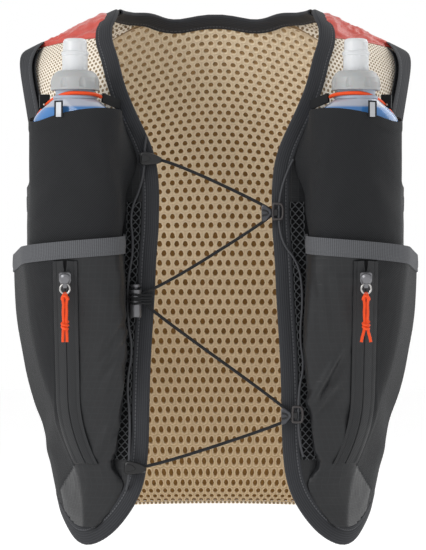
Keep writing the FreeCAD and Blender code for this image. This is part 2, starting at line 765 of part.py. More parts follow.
def pin(sketch, index, point, x, y):
    """Holds a point of the sketch at sums of the sheet's sizes."""
    for kind, text, axis in (("DistanceX", x, -2), ("DistanceY", y, -1)):
        if worth(text) == 0:
            sketch.addConstraint(Sketcher.Constraint("PointOnObject", index, point, axis))
        else:
            at = sketch.addConstraint(Sketcher.Constraint(kind, -1, 1, index, point, worth(text)))
            sketch.setExpression(f"Constraints[{at}]", bound(text))


def add_circle(sketch, radius, x="0", y="0"):
    index = sketch.addGeometry(Part.Circle(Vector(worth(x), worth(y), 0), Vector(0, 0, 1), worth(radius)))
    pin(sketch, index, 3, x, y)
    at = sketch.addConstraint(Sketcher.Constraint("Radius", index, worth(radius)))
    sketch.setExpression(f"Constraints[{at}]", bound(radius))


def add_outline(sketch, corners):
    """A closed outline of straight lines through corners given as sums."""
    spots = [Vector(worth(x), worth(y), 0) for x, y in corners]
    count = len(spots)
    first = sketch.GeometryCount
    for k in range(count):
        sketch.addGeometry(Part.LineSegment(spots[k], spots[(k + 1) % count]))
    for k in range(count):
        sketch.addConstraint(Sketcher.Constraint("Coincident", first + k, 2, first + (k + 1) % count, 1))
    for k, (x, y) in enumerate(corners):
        pin(sketch, first + k, 1, x, y)


def pad(body, sketch, length, name, both=False):
    made = body.newObject("PartDesign::Pad", f"{body.Name}_{name}")
    made.Profile = sketch
    made.setExpression("Length", bound(length))
    made.Midplane = both
    doc.recompute()
    return made


def cut(body, sketch, length, name, reverse=False, both=False):
    before = body.Shape.Volume
    made = body.newObject("PartDesign::Pocket", f"{body.Name}_{name}")
    made.Profile = sketch
    made.setExpression("Length", bound(length))
    made.Reversed = reverse
    made.Midplane = both
    doc.recompute()
    if body.Shape.Volume >= before:
        raise RuntimeError(f"{made.Name} removed nothing")
    return made


def turned(label, profile):
    """A body turned about Z from a half profile of (radius, height) sums."""
    body = new_body(label)
    sketch = new_sketch(body, "Profile", "XZ_Plane")
    add_outline(sketch, profile)
    made = body.newObject("PartDesign::Revolution", f"{body.Name}_Turn")
    made.Profile = sketch
    made.ReferenceAxis = (sketch, ["V_Axis"])
    made.Angle = 360
    doc.recompute()
    return body


def mounted(point, across, out):
    """Placement whose X runs across, Z runs outwards and Y completes them."""
    z = Vector(out).normalize()
    y = z.cross(across).normalize()
    x = y.cross(z)
    return Placement(FreeCAD.Matrix(x.x, y.x, z.x, point.x, x.y, y.y, z.y, point.y,
                                    x.z, y.z, z.z, point.z, 0, 0, 0, 1))


# ------------------------------------------------------------------ soft flasks
def bladder_rings(shrink):
    """Ovals up the bladder as (height, half width, half depth), each smaller by shrink."""
    foot, low, high = size("bladder_foot"), size("bladder_full_low"), size("bladder_full_high")
    neck, across, deep = size("collar_foot"), size("bladder_half_width"), size("bladder_half_depth")
    rings = []
    for share in (0, 0.12, 0.3, 0.55, 1):
        swell = math.sin(math.radians(QUARTER * share))
        rings.append((mix(foot + shrink, low, share), mix(0.8, 1, swell) * across,
                      mix(size("bladder_seam_half"), deep, swell)))
    end = size("collar_flange") - 0.4
    for share in (0, 0.35, 0.6, 0.8, 1):
        close = 1 - math.cos(math.radians(QUARTER * share))
        rings.append((mix(high, neck, share), mix(across, end, close), mix(deep, end, close)))
    return [(z, a - shrink, d - shrink) for z, a, d in rings]


def oval_solid(rings, sides=28):
    """A faceted solid through level ovals about the Z axis."""
    frames = [(Vector(0, 0, z), Vector(a, 0, 0), Vector(0, -d, 0)) for z, a, d in rings]
    outline = [(math.cos(2 * math.pi * k / sides), -math.sin(2 * math.pi * k / sides)) for k in range(sides)]
    return swept(frames, outline, [(0, k, k + 1) for k in range(1, sides - 1)])


def flask(word, side):
    """Bladder, threaded collar, screw cap and bite valve, all on one upright axis."""
    axis = Placement(Vector(side * FLASK.x, FLASK.y, 0), Rotation(Vector(0, 0, 1), side * FLASK_TURN))
    hollow = bladder_rings(size("bladder_wall"))
    hollow[-1] = (hollow[-1][0] + 1, *hollow[-1][1:])
    feature(f"flask_bladder_{word}", oval_solid(bladder_rings(0)).cut(oval_solid(hollow)), axis)

    collar = turned(f"flask_collar_{word}", [
        ("collar_bore", "collar_foot"), ("collar_flange", "collar_foot"),
        ("collar_flange", "collar_foot + cap_wall"), ("collar_radius", "collar_foot + cap_wall * 1.5"),
        ("collar_radius", "cap_foot + cap_height * 0.55 - thread_gap * 3"),
        ("collar_bore", "cap_foot + cap_height * 0.55 - thread_gap * 3")])
    collar.Placement = axis

    cap = turned(f"flask_cap_{word}", [
        ("collar_radius + thread_gap", "cap_foot"), ("cap_radius", "cap_foot"),
        ("cap_radius", "cap_foot + cap_height * 0.4"), ("cap_radius * 0.96", "cap_foot + cap_height * 0.64"),
        ("cap_radius * 0.85", "cap_foot + cap_height * 0.87"), ("cap_radius * 0.7", "cap_foot + cap_height"),
        ("stem_radius", "cap_foot + cap_height"),
        ("stem_radius", "cap_foot + cap_height + stem_height"),
        ("valve_mouth", "cap_foot + cap_height + stem_height"),
        ("valve_mouth", "cap_foot + cap_height - cap_wall"),
        ("cap_radius * 0.7 - cap_wall", "cap_foot + cap_height - cap_wall"),
        ("collar_radius + thread_gap", "cap_foot + cap_height * 0.55")])
    groove = new_sketch(cap, "Grip", lift="cap_foot + cap_wall")
    add_circle(groove, "grip_radius", "cap_radius + grip_radius * 0.82", "0")
    first = cut(cap, groove, "cap_height * 2", "Grip_cut", reverse=True)
    round_cap = cap.newObject("PartDesign::PolarPattern", f"{cap.Name}_Grips")
    round_cap.Originals = [first]
    round_cap.Axis = (groove, ["N_Axis"])
    round_cap.Angle = 360
    round_cap.setExpression("Occurrences", "Sizes.cap_grips")
    cap.Tip = round_cap
    cap.Placement = axis

    seat = "cap_foot + cap_height + seam_gap"
    valve = turned(f"bite_valve_{word}", [
        ("stem_radius + seam_gap", seat), ("valve_radius", seat),
        ("valve_radius", seat + " + valve_height * 0.46"), ("valve_ring", seat + " + valve_height * 0.5"),
        ("valve_ring", seat + " + valve_height * 0.57"),
        ("valve_radius - 0.5", seat + " + valve_height * 0.61"),
        ("valve_radius - 0.7", seat + " + valve_height * 0.9"),
        ("valve_radius * 0.85", seat + " + valve_height * 0.97"),
        ("valve_radius * 0.66", seat + " + valve_height"),
        ("valve_mouth", seat + " + valve_height"), ("valve_mouth", seat + " + stem_height"),
        ("stem_radius + seam_gap", seat + " + stem_height")])
    valve.Placement = axis


# ------------------------------------------------------------------ cords
def cord_wire(points, radii=None):
    """Straight runs joined by tangent arcs. Prints each arc's radius."""
    edges, start, used = [], points[0], []
    for k in range(1, len(points) - 1):
        before, after = points[k - 1] - points[k], points[k + 1] - points[k]
        half = (math.pi - before.getAngle(after)) / 2
        widest = 0.45 * min(before.Length, after.Length) / math.tan(half)
        radius = min(radii[k - 1], widest * 1.08) if radii else widest
        used.append(round(radius, 1))
        reach = radius * math.tan(half)
        a = points[k] + Vector(before).normalize() * reach
        b = points[k] + Vector(after).normalize() * reach
        bisector = (Vector(before).normalize() + Vector(after).normalize()).normalize()
        middle = points[k] + bisector * (radius / math.cos(half) - radius)
        edges.append(Part.LineSegment(start, a).toShape())
        edges.append(Part.Arc(a, middle, b).toShape())
        start = b
    edges.append(Part.LineSegment(start, points[-1]).toShape())
    print("arc radii", used)
    return Part.Wire(edges)


def cord_solid(points, diameter, radii=None):
    wire = cord_wire(points, radii)
    way = (points[1] - points[0]).normalize()
    ring = Part.Wire(Part.makeCircle(diameter / 2, points[0], way))
    tube = wire.makePipeShell([ring], True, False)
    expected = math.pi * diameter ** 2 / 4 * wire.Length
    if abs(tube.Volume / expected - 1) > 0.02:
        raise RuntimeError("a cord's tube doesn't fill its length")
    return tube


def faceted_rod(points, radius, sides=6):
    """A rod of flat facets along some points."""
    frames = []
    for k, p in enumerate(points):
        way = (points[min(k + 1, len(points) - 1)] - points[max(k - 1, 0)]).normalize()
        side = way.cross(Vector(0.13, 0.9, 0.2)).normalize()
        frames.append((p, side, side.cross(way)))
    profile = [(radius * math.cos(2 * math.pi * a / sides), -radius * math.sin(2 * math.pi * a / sides))
               for a in range(sides)]
    return swept(frames, profile, [(0, k, k + 1) for k in range(1, sides - 1)])


def barrel(centre, profile, sides=8):
    """A faceted round form from (height, radius) rings about a vertical axis."""
    frames = [(centre + Vector(0, 0, z), Vector(r, 0, 0), Vector(0, -r, 0)) for z, r in profile]
    outline = [(math.cos(2 * math.pi * a / sides), -math.sin(2 * math.pi * a / sides)) for a in range(sides)]
    return swept(frames, outline, [(0, k, k + 1) for k in range(1, sides - 1)])


def mirrored(points, side):
    return [Vector(side * p.x, p.y, p.z) for p in points]


# ------------------------------------------------------------------ what holds the flasks' necks
def retainer(word, side):
    """Elastic round the flask's neck under the cap, its tab, and the webbing that keeps its inner end."""
    cord, level = size("retainer_cord"), size("retainer_height")
    reach = size("collar_radius") + size("seam_gap") + cord / 2
    rim = size("pocket_rim_height")
    outer_end = pocket_point(flask_pocket_way, 0.95, rim, size("pocket_wall") / 2)
    outer_end += Vector(0, 0, cord / 2 + size("seam_gap"))
    first = Vector(FLASK.x + reach, FLASK.y - reach, level)
    second = Vector(FLASK.x - reach, FLASK.y - reach, level)
    inner_end = Vector(FLASK.x - reach - 3, FLASK.y + 2, level - 2)
    route = mirrored([outer_end, first, second, inner_end], side)
    print("retainer", word, [(round(p.x, 1), round(p.y, 1), round(p.z, 1)) for p in route])
    feature(f"retainer_elastic_{word}", cord_solid(route, cord, [reach * 0.93, reach * 0.93]))

    way = (route[0] - route[1]).normalize()
    tall, wide, thick = size("tab_height"), size("tab_width"), size("tab_thick")
    middle = route[1] + way * (reach + thick * 5)
    tab = Part.makeBox(tall, wide, thick, Vector(-tall * 0.25, -wide / 2, -thick / 2))
    tab = tab.cut(Part.makeCylinder(cord / 2 + 0.1, thick * 2, Vector(0, 0, -thick)))
    feature(f"retainer_tab_{word}", tab, mounted(middle, Vector(0, 0, 1), way))

    inset = free_x(level - 8) + size("binding_width") * 0.7
    place = on_skin(inset, level - 8)
    lift = size("panel_thick") + size("binding_slack") + size("tape_layer") + size("keeper_thick")
    foot = raised(side * place.x, place.y, lift)
    run = (route[-1] - foot) * 0.9
    strap = Part.makeBox(size("keeper_thick"), size("keeper_width"), run.Length,
                         Vector(-size("keeper_thick") / 2, -size("keeper_width") / 2, 0))
    feature(f"keeper_webbing_{word}", strap, mounted(foot, Vector(0, 0, 1).cross(run), run))


# ------------------------------------------------------------------ zips' moving parts
def zip_frame(side, z):
    """A point over the zip that clears the tape all along its run, the direction outwards and the way up."""
    point = pocket_at(zip_pocket_way, zip_x(z), z, ZIP_FACE)
    foot = pocket_at(zip_pocket_way, zip_x(z), z - size("slider_travel"), ZIP_FACE)
    way = point - foot
    out = Vector(1, 0, 0).cross(way).normalize() * -1
    if out.y > 0:
        out = out * -1
    half, rise = size("slider_length") * 0.5, 0.0
    for k in range(25):
        level = z + half - (size("slider_travel") + half * 2) * k / 24
        for across in (-0.5, 0, 0.5):
            at = pocket_at(zip_pocket_way, zip_x(level) + size("slider_width") * across, level, ZIP_FACE)
            rise = max(rise, (at - foot).dot(out))
    point += out * (rise + size("seam_gap"))
    return Vector(side * point.x, point.y, point.z), Vector(0, out.y, out.z), way


def slider(label, place):
    """Zip slider: wings on the tape, a domed crown and two lugs for the pull's bail."""
    body = new_body(label)
    wings = new_sketch(body, "Wings")
    half, long = "slider_width * 0.5", "slider_length * 0.5"
    add_outline(wings, [("slider_width * -0.28", "slider_length * -0.5"),
                        ("slider_width * 0.28", "slider_length * -0.5"), (half, "slider_length * -0.1"),
                        (half, "slider_length * 0.4"), ("slider_width * 0.36", long),
                        ("slider_width * -0.36", long), ("slider_width * -0.5", "slider_length * 0.4"),
                        ("slider_width * -0.5", "slider_length * -0.1")])
    pad(body, wings, "slider_depth * 0.35", "Wings_pad")
    crown = new_sketch(body, "Crown", lift="slider_depth * 0.35")
    add_circle(crown, "slider_width * 0.47", "0", "slider_length * 0.08")
    dome = pad(body, crown, "slider_depth * 0.65", "Crown_pad")
    top = [f"Edge{k}" for k, e in enumerate(dome.Shape.Edges, start=1)
           if abs(e.CenterOfMass.z - size("slider_depth")) < 1e-3 and abs(e.BoundBox.ZLength) < 1e-3]
    soft = body.newObject("PartDesign::Chamfer", f"{body.Name}_Soften")
    soft.Base = (dome, top)
    soft.setExpression("Size", "Sizes.slider_depth * 0.3")
    lugs = new_sketch(body, "Lugs", lift="slider_depth * 0.35")
    add_outline(lugs, [("slider_width * -0.16", "slider_length * -0.5"),
                       ("slider_width * 0.16", "slider_length * -0.5"),
                       ("slider_width * 0.16", "slider_length * -0.2"),
                       ("slider_width * -0.16", "slider_length * -0.2")])
    pad(body, lugs, "slider_depth * 0.65", "Lugs_pad")
    eye = new_sketch(body, "Eye", "YZ_Plane")
    add_circle(eye, "bail_wire + seam_gap * 2", "slider_length * -0.36", "slider_depth * 0.62")
    cut(body, eye, "slider_width * 2", "Eye_cut", both=True)
    body.Placement = place
    return body


def closed_ring(radius, wire, around=12, sides=6):
    """A faceted ring standing in the XZ plane, its top at the origin's level."""
    points, triangles = [], []
    for k in range(around):
        angle = 2 * math.pi * k / around
        spoke = Vector(math.cos(angle), 0, math.sin(angle))
        for a in range(sides):
            lean = 2 * math.pi * a / sides + 0.1
            points.append(Vector(0.07, 0.05, -radius * 0.9) + spoke * (radius + wire * math.cos(lean))
                          + Vector(0, wire * math.sin(lean), 0))
    for k in range(around):
        for a in range(sides):
            b, on = (a + 1) % sides, (k + 1) % around
            a0, a1, b0, b1 = k * sides + a, k * sides + b, on * sides + a, on * sides + b
            triangles.extend([(a0, a1, b1), (a0, b1, b0)])
    return closed_solid(points, triangles)


def pull(label, place):
    """Wire bail with a doubled cord hitched to it and knotted, hanging down Z from its pivot."""
    wire, ring = size("bail_wire"), size("bail_radius")
    bail = closed_ring(ring, wire)
    cord, drop, knot = size("pull_cord") / 2, size("pull_length"), size("knot_width") / 2
    top = -ring * 1.9
    strands = [Vector(-cord * 1.1, 0, -drop), Vector(-cord * 1.05, 0, top - 12),
               Vector(-cord * 1.1, 0, top - 2), Vector(-cord * 0.7, 0, top + 2.2),
               Vector(cord * 0.7, 0, top + 2.2), Vector(cord * 1.1, 0, top - 2),
               Vector(cord * 1.05, 0, top - 12), Vector(cord * 1.1, 0, -drop)]
    cords = faceted_rod(strands, cord)
    hitch = barrel(Vector(0, 0, top - 7), [(-2.6, cord * 1.6), (-1.6, cord * 2.4),
                                           (1.6, cord * 2.4), (2.6, cord * 1.6)])
    tied = barrel(Vector(0, 0, -drop + 14), [(-5, cord * 1.5), (-3.4, knot * 0.9), (0, knot),
                                             (3.4, knot * 0.9),
                                             (5, cord * 1.5)])
    shape = bail.fuse([cords, hitch, tied])
    if len(shape.Solids) != 1:
        raise RuntimeError(f"{label} isn't one solid")
    return feature(label, shape, place)


def zip_hardware():
    for word, side in SIDES.items():
        point, out, way = zip_frame(side, size("slider_height"))
        slider(f"zip_slider_{word}", mounted(point, out.cross(way) * -1, out))
        back = size("slider_length") * 0.36
        pivot = point + Vector(way).normalize() * -back + out * size("slider_depth") * 0.62
        print("pull pivot", word, pivot, "way", Vector(way).normalize())
        pull(f"zip_pull_{word}", Placement(pivot, Rotation()))
    point = Vector(size("rear_zip_half_length") - 6, REAR_FACE + ZIP_FACE + size("seam_gap"),
                   size("rear_zip_height"))
    slider("rear_zip_slider", mounted(point, Vector(0, 0, 1), Vector(0, 1, 0)))
    back = size("slider_length") * 0.36
    rear = doc.getObject("rear_zip_slider").Placement
    pivot = rear.multVec(Vector(0, -back, size("slider_depth") * 0.62))
    print("rear pivot", pivot, "rear way", rear.Rotation.multVec(Vector(0, 1, 0)))
    ring = pivot + Vector(0, size("bail_radius") * 0.95, 0)
    print("rear ring centre", ring)
    hung = ring + Vector(0, 0, size("bail_radius") * 0.9)
    pull("rear_zip_pull", Placement(hung, Rotation(Vector(0, 0, 1), 90)))


# ------------------------------------------------------------------ lacing across the chest
def ladder_tape(word, side):
    """Mesh tape beside the front binding that the zigzag cord is stitched to."""
    lift = size("panel_thick") + size("seam_gap")
    edge = size("binding_width") + size("seam_gap")
    across = (edge, edge + size("ladder_width") - 3 * size("seam_gap"))

    def grid(height):
        lines = []
        for k in range(15):
            z = mix(size("ladder_foot"), size("ladder_top"), k / 14)
            places = [on_skin(free_x(z) + x, z) for x in across]
            lines.append([raised(side * p.x, p.y, height) for p in places])
        return lines

    feature(f"ladder_tape_{word}", cloth(grid(lift), grid(lift + 1.0)) if side > 0
            else cloth([line[::-1] for line in grid(lift)], [line[::-1] for line in grid(lift + 1.0)]))


def off_skin(side, x, z, lift):
    place = on_skin(x, z)
    return raised(side * place.x, place.y, lift)


def clear_y(x, z):
    """Depth at which a hook whose sleeve is at x clears the cloth and tape under it."""
    lift = size("panel_thick") + size("binding_slack") + size("tape_layer")
    under = [max(free_x(z), x - size("hook_reach") * k / 3) for k in range(4)] + [x + size("hook_tail")]
    return min(off_skin(LEFT, at, z, lift).y for at in under) - size("hook_thick") / 2 - size("seam_gap") * 2


def straight_run(side, x, z, travel):
    """Ends and middle of the cord's straight run that a hook sits on."""
    half = travel + size("hook_height") / 2 + 2
    low, high = (Vector(side * x, clear_y(x, z + sign * half), z + sign * half) for sign in (-1, 1))
    way = (high - low).normalize()
    return low, high, low + way * ((z - low.z) / way.z), way


HOOK_STOPS = {  # distance from the middle, height, travel along the cord
    "lace_end_upper": (RIGHT, 57.5, 310, 0), "lace_hook_upper": (LEFT, 51, 266, 1),
    "lace_hook_lower": (LEFT, 67, 102, 1), "lace_end_lower": (RIGHT, 70, 60, 0)}


def hook_place(name):
    side, x, z, travels = HOOK_STOPS[name]
    low, high, middle, way = straight_run(side, x, z, travels * size("hook_travel"))
    inward = Vector(-side, 0, 0)
    out = inward.cross(way).normalize()
    if out.y > 0:
        out = out * -1
    return mounted(middle, inward, out), low, high, way


def hook(name):
    """Moulded hook: a sleeve on the cord, two plates and a post that the lace turns round."""
    place, low, high, way = hook_place(name)
    body = new_body(name)
    turns = HOOK_STOPS[name][3]
    nose = "hook_height * 0.5" if turns else "hook_height * 0.4"
    tip = "hook_height * 0.2" if turns else "lace_cord * 0.5 + cord_bore"
    plate = new_sketch(body, "Plate")
    shoulder = "hook_post_at - hook_post * 2"
    add_outline(plate, [("hook_tail * -0.7", "hook_height * -0.38"), (shoulder, "hook_height * -0.5"),
                        ("hook_post_at * 0.7", "hook_height * -0.5"), ("hook_reach", "hook_height * -0.22"),
                        ("hook_reach", "hook_height * 0.22"), ("hook_post_at * 0.7", "hook_height * 0.5"),
                        (shoulder, "hook_height * 0.5"), ("hook_tail * -0.7", "hook_height * 0.38"),
                        ("hook_tail * -1", "hook_height * 0.2"), ("hook_tail * -1", "hook_height * -0.2")])
    pad(body, plate, "hook_thick", "Plate_pad", both=True)
    if turns:
        groove = new_sketch(body, "Groove")
        add_outline(groove, [(shoulder, "hook_height * -1"), ("hook_reach * 2", "hook_height * -1"),
                             ("hook_reach * 2", "hook_height"), (shoulder, "hook_height")])
        add_circle(groove, "hook_post", "hook_post_at", "0")
        cut(body, groove, "lace_cord + seam_gap * 2", "Groove_cut", both=True)
        thumb = new_sketch(body, "Window", lift="lace_cord * 0.5 + seam_gap")
        add_outline(thumb, [("hook_post_at * 0.75", "hook_height * -0.2"),
                            ("hook_reach * 0.9", "hook_height * -0.12"),
                            ("hook_reach * 0.9", "hook_height * 0.12"),
                            ("hook_post_at * 0.75", "hook_height * 0.2")])
        cut(body, thumb, "hook_thick", "Window_cut", reverse=True)
    else:
        socket = new_sketch(body, "Socket", "YZ_Plane", lift="hook_reach * 0.4")
        add_circle(socket, "lace_cord * 0.5 + seam_gap")
        cut(body, socket, "hook_reach", "Socket_cut", reverse=True)
    sleeve = new_sketch(body, "Sleeve", "XZ_Plane")
    add_circle(sleeve, "cord_bore")
    cut(body, sleeve, "hook_height * 3", "Sleeve_cut", both=True)
    body.Placement = place
    print(name, "at", place.Base, "way", way)
    return body


LOCK_X, LOCK_FOOT = size("lock_x"), size("lock_foot")
LACE_LEVELS = (size("lace_level"), size("lace_level") - size("lace_step"))


def lock_centre():
    place = on_skin(LOCK_X, LOCK_FOOT + size("lock_length") / 2)
    lift = size("panel_thick") + size("binding_slack") + size("tape_layer")
    lift += size("seam_gap") * 4 + size("lock_radius")
    return Vector(-LOCK_X, raised(-place.x, place.y, lift).y, LOCK_FOOT)


def cord_lock():
    """Sprung cord lock: a barrel with an eye for the zigzag cord, a plunger and its spring."""
    centre = lock_centre()
    body = new_body("cord_lock_body")
    barrel_disc = new_sketch(body, "Barrel")
    add_circle(barrel_disc, "lock_radius")
    pad(body, barrel_disc, "lock_length", "Barrel_pad")
    eye = new_sketch(body, "Eye")
    add_outline(eye, [("lock_radius * -1.8", "1"), ("lock_radius * -0.5", "1"),
                      ("lock_radius * -0.5", "lock_radius"),
                      ("lock_radius * -1.8", "lock_radius")])
    pad(body, eye, "lock_radius", "Eye_pad")
    eye_bore = new_sketch(body, "EyeBore")
    add_circle(eye_bore, "cord_bore", "lock_radius * -1.4", "lock_radius * 0.6")
    cut(body, eye_bore, "lock_length", "EyeBore_cut", both=True)
    bore = new_sketch(body, "Bore", lift="spring_wire * 2")
    add_circle(bore, "lock_bore")
    cut(body, bore, "lock_length * 2", "Bore_cut", reverse=True)
    low, high = LACE_LEVELS[1] - LOCK_FOOT, LACE_LEVELS[0] - LOCK_FOOT
    edge = "lace_cord * 0.5 + seam_gap"
    slot = new_sketch(body, "LaceSlot", "YZ_Plane")
    add_outline(slot, [("lace_cord * -0.5 - seam_gap", f"{low} - lace_cord * 0.5 - seam_gap"),
                       (edge, f"{low} - lace_cord * 0.5 - seam_gap"),
                       (edge, f"{high} + lace_cord * 0.5 + seam_gap"),
                       ("lace_cord * -0.5 - seam_gap", f"{high} + lace_cord * 0.5 + seam_gap")])
    cut(body, slot, "lock_radius * 4", "LaceSlot_cut", both=True)
    body.Placement = Placement(centre, Rotation())

    plunger = turned("cord_lock_plunger", [
        ("0", "lock_length * 0.37"), ("lock_bore - seam_gap", "lock_length * 0.37"),
        ("lock_bore - seam_gap", "lock_length - seam_gap"), ("lock_button", "lock_length - seam_gap"),
        ("lock_button", "lock_length + lock_travel + seam_gap"),
        ("lock_radius - seam_gap", "lock_length + lock_travel + seam_gap * 2"),
        ("lock_radius - seam_gap", "lock_length + lock_button_out - 1"),
        ("lock_button", "lock_length + lock_button_out"), ("0", "lock_length + lock_button_out")])
    window = new_sketch(plunger, "LaceSlot", "YZ_Plane")
    top = f"{high} + lock_travel + lace_cord * 0.5 + seam_gap"
    add_outline(window, [("lace_cord * -0.5 - seam_gap", f"{low} - lace_cord * 0.5 - seam_gap"),
                         (edge, f"{low} - lace_cord * 0.5 - seam_gap"), (edge, top),
                         ("lace_cord * -0.5 - seam_gap", top)])
    cut(plunger, window, "lock_radius * 4", "LaceSlot_cut", both=True)
    plunger.Placement = Placement(centre, Rotation())

    wire, turns = size("spring_wire") / 2, size("spring_turns")
    foot, head = size("spring_wire") * 2 + 0.05 + wire, size("lock_length") * 0.37 - 0.05 - wire
    frames = []
    for k in range(int(turns * 10) + 1):
        angle = 2 * math.pi * k / 10
        spoke = Vector(math.cos(angle), math.sin(angle), 0)
        frames.append((spoke * size("spring_radius") + Vector(0, 0, mix(foot, head, k / (turns * 10))),
                       spoke, Vector(0, 0, 1)))
    square = [(-wire, -wire), (-wire, wire), (wire, wire), (wire, -wire)]
    feature("cord_lock_spring", swept(frames, square, [(0, 1, 2), (0, 2, 3)]), Placement(centre, Rotation()))
    print("cord lock at", centre, "spring foot", centre.z + foot - wire, "head", centre.z + head + wire)


def daisy_cords():
    """Thin cord zigzagging down each ladder tape, straight where a hook or the lock sits on it."""
    stand = size("daisy_stand")
    centre = lock_centre()
    eye = Vector(centre.x - size("lock_radius") * 1.4, centre.y + size("lock_radius") * 0.6, 0)
    _, end_low, end_high, _ = hook_place("lace_end_upper")
    _, foot_low, foot_high, _ = hook_place("lace_end_lower")
    right = [off_skin(RIGHT, 55, end_high.z + 9, stand), end_high, end_low, off_skin(RIGHT, 60, 286, stand),
             off_skin(RIGHT, 68.5, 266, stand), off_skin(RIGHT, 65, 238, stand),
             Vector(eye.x, eye.y, 212), Vector(eye.x, eye.y, 178), off_skin(RIGHT, 66, 156, stand),
             off_skin(RIGHT, 71, 128, stand), off_skin(RIGHT, 68, 100, stand), foot_high, foot_low,
             off_skin(RIGHT, 71, foot_low.z - 9, stand)]
    _, upper_low, upper_high, _ = hook_place("lace_hook_upper")
    _, lower_low, lower_high, _ = hook_place("lace_hook_lower")
    left = [off_skin(LEFT, 62, upper_high.z + 22, stand), upper_high, upper_low,
            off_skin(LEFT, 66.5, 226, stand),
            off_skin(LEFT, 70, 198, stand), off_skin(LEFT, 67, 166, stand), off_skin(LEFT, 71, 142, stand),
            lower_high, lower_low, off_skin(LEFT, 70, lower_low.z - 12, stand)]
    for word, route in (("right", right), ("left", left)):
        print("daisy", word, [(round(p.x, 1), round(p.y, 1), round(p.z, 1)) for p in route])
        feature(f"daisy_cord_{word}", cord_solid(route, size("daisy_cord")))


def tangent_corner(post, radius, start, over):
    """Where the tangent from start, over or under the post, meets the upright just past the post."""
    way_x, way_z = post.x - start.x, post.z - start.z
    angle = math.atan2(way_z, way_x) + over * math.asin(radius / math.hypot(way_x, way_z))
    x = post.x + radius
    return Vector(x, post.y, start.z + math.tan(angle) * (x - start.x))


def laces():
    """Elastic lace: from each end fitting round the opposite hook to the cord lock."""
    turn = size("hook_post") + size("lace_cord") / 2 + size("seam_gap")
    centre = lock_centre()
    gate = centre.x + size("lock_radius") + 2
    for word, end, over in (("upper", "lace_end_upper", 1), ("lower", "lace_end_lower", -1)):
        fitting = hook_place(end)[0]
        post = hook_place(f"lace_hook_{word}")[0].multVec(Vector(size("hook_post_at"), 0, 0))
        inside = fitting.multVec(Vector(size("hook_reach") * 0.42, 0, 0))
        outside = fitting.multVec(Vector(size("hook_reach") + 3, 0, 0))
        level = LACE_LEVELS[0] if over > 0 else LACE_LEVELS[1]
        entry = [Vector(gate, centre.y, level), Vector(centre.x - size("lock_radius") - 1.5, centre.y, level)]
        if over < 0:
            entry.insert(0, Vector(gate + 5, centre.y, level - 8))
        route = [inside, outside, tangent_corner(post, turn, outside, over),
                 tangent_corner(post, turn, entry[0], -over)] + entry
        print("lace", word, [(round(p.x, 1), round(p.y, 1), round(p.z, 1)) for p in route])
        radii = [6, turn, turn] + ([9] if over > 0 else [6, 5])
        feature(f"lace_{word}", cord_solid(route, size("lace_cord"), radii))


build_shell()
build_pockets()
build_back()
for side_name, side_sign in SIDES.items():
    flask(side_name, side_sign)
    retainer(side_name, side_sign)
zip_hardware()
for side_name, side_sign in SIDES.items():
    ladder_tape(side_name, side_sign)
for hook_name in HOOK_STOPS:
    hook(hook_name)
cord_lock()
daisy_cords()
laces()
doc.recompute()
for obj in doc.Objects:
    if "Invalid" in obj.State or "Error" in obj.State:
        raise RuntimeError(f"{obj.Name} failed: {obj.State}")
for obj in nodes:
    if obj.Shape.isNull() or not obj.Shape.isValid() or len(obj.Shape.Solids) != 1:
        raise RuntimeError(f"{obj.Label} isn't one valid solid")
os.makedirs("parts", exist_ok=True)
for obj in nodes:
    obj.Shape.exportStep(f"parts/{obj.Label}.step")
    box = obj.Shape.BoundBox
    print(obj.Label, round(obj.Shape.Volume), "mm3,", len(obj.Shape.Faces), "faces, box",
          [round(v) for v in (box.XMin, box.XMax, box.YMin, box.YMax, box.ZMin, box.ZMax)])
print(len(nodes), "sub-parts,", sum(len(o.Shape.Faces) for o in nodes), "faces")
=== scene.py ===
"""Running hydration vest with two soft flasks: the visual model, built on the packed frame.

Pieces are worked out in millimetres in the frame's own axes (X to the wearer's left, Y to the back, Z up) and
stored in metres; the cords' routes are in metres, as the frame has them. Each operator builds one piece or
one group of like pieces, and reads its sizes and colours from the scene's Vest settings.
"""
import math

import bpy
import numpy as np
from bpy.props import FloatProperty, FloatVectorProperty, PointerProperty
from mathutils import Matrix, Vector, noise


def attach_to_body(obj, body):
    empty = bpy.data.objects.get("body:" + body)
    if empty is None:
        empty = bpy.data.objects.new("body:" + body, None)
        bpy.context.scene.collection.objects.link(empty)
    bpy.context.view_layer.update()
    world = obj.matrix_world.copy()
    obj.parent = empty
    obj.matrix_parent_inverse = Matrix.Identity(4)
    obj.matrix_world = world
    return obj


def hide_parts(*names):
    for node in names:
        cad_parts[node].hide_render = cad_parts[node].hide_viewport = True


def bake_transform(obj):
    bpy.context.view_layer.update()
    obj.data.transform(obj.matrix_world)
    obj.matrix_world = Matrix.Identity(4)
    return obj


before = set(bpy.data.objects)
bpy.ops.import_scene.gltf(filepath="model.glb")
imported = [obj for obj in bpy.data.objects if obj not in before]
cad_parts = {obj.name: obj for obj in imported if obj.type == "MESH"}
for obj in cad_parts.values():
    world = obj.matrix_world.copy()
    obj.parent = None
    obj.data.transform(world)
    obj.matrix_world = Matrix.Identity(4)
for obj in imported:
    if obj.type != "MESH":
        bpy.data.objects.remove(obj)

bl_info = {
    "name": "Hydration vest builder",
    "version": (1, 0, 0),
    "blender": (4, 5, 0),
    "location": "View3D > Sidebar > Vest",
    "description": "Builds a running hydration vest with soft flasks, pockets and lacing",
    "category": "Add Mesh",
}

MM = 0.001
SIDES = {"right": -1, "left": 1}
QUARTER = 90.0

# ------------------------------------------------------------------ the torso's surface, as the CAD has it
# The chest's height, the way over the shoulder above it, and how square the torso's section is.
CHEST, ARCH, POWER = 250.0, 190.0, 2.4
TOP = CHEST + ARCH
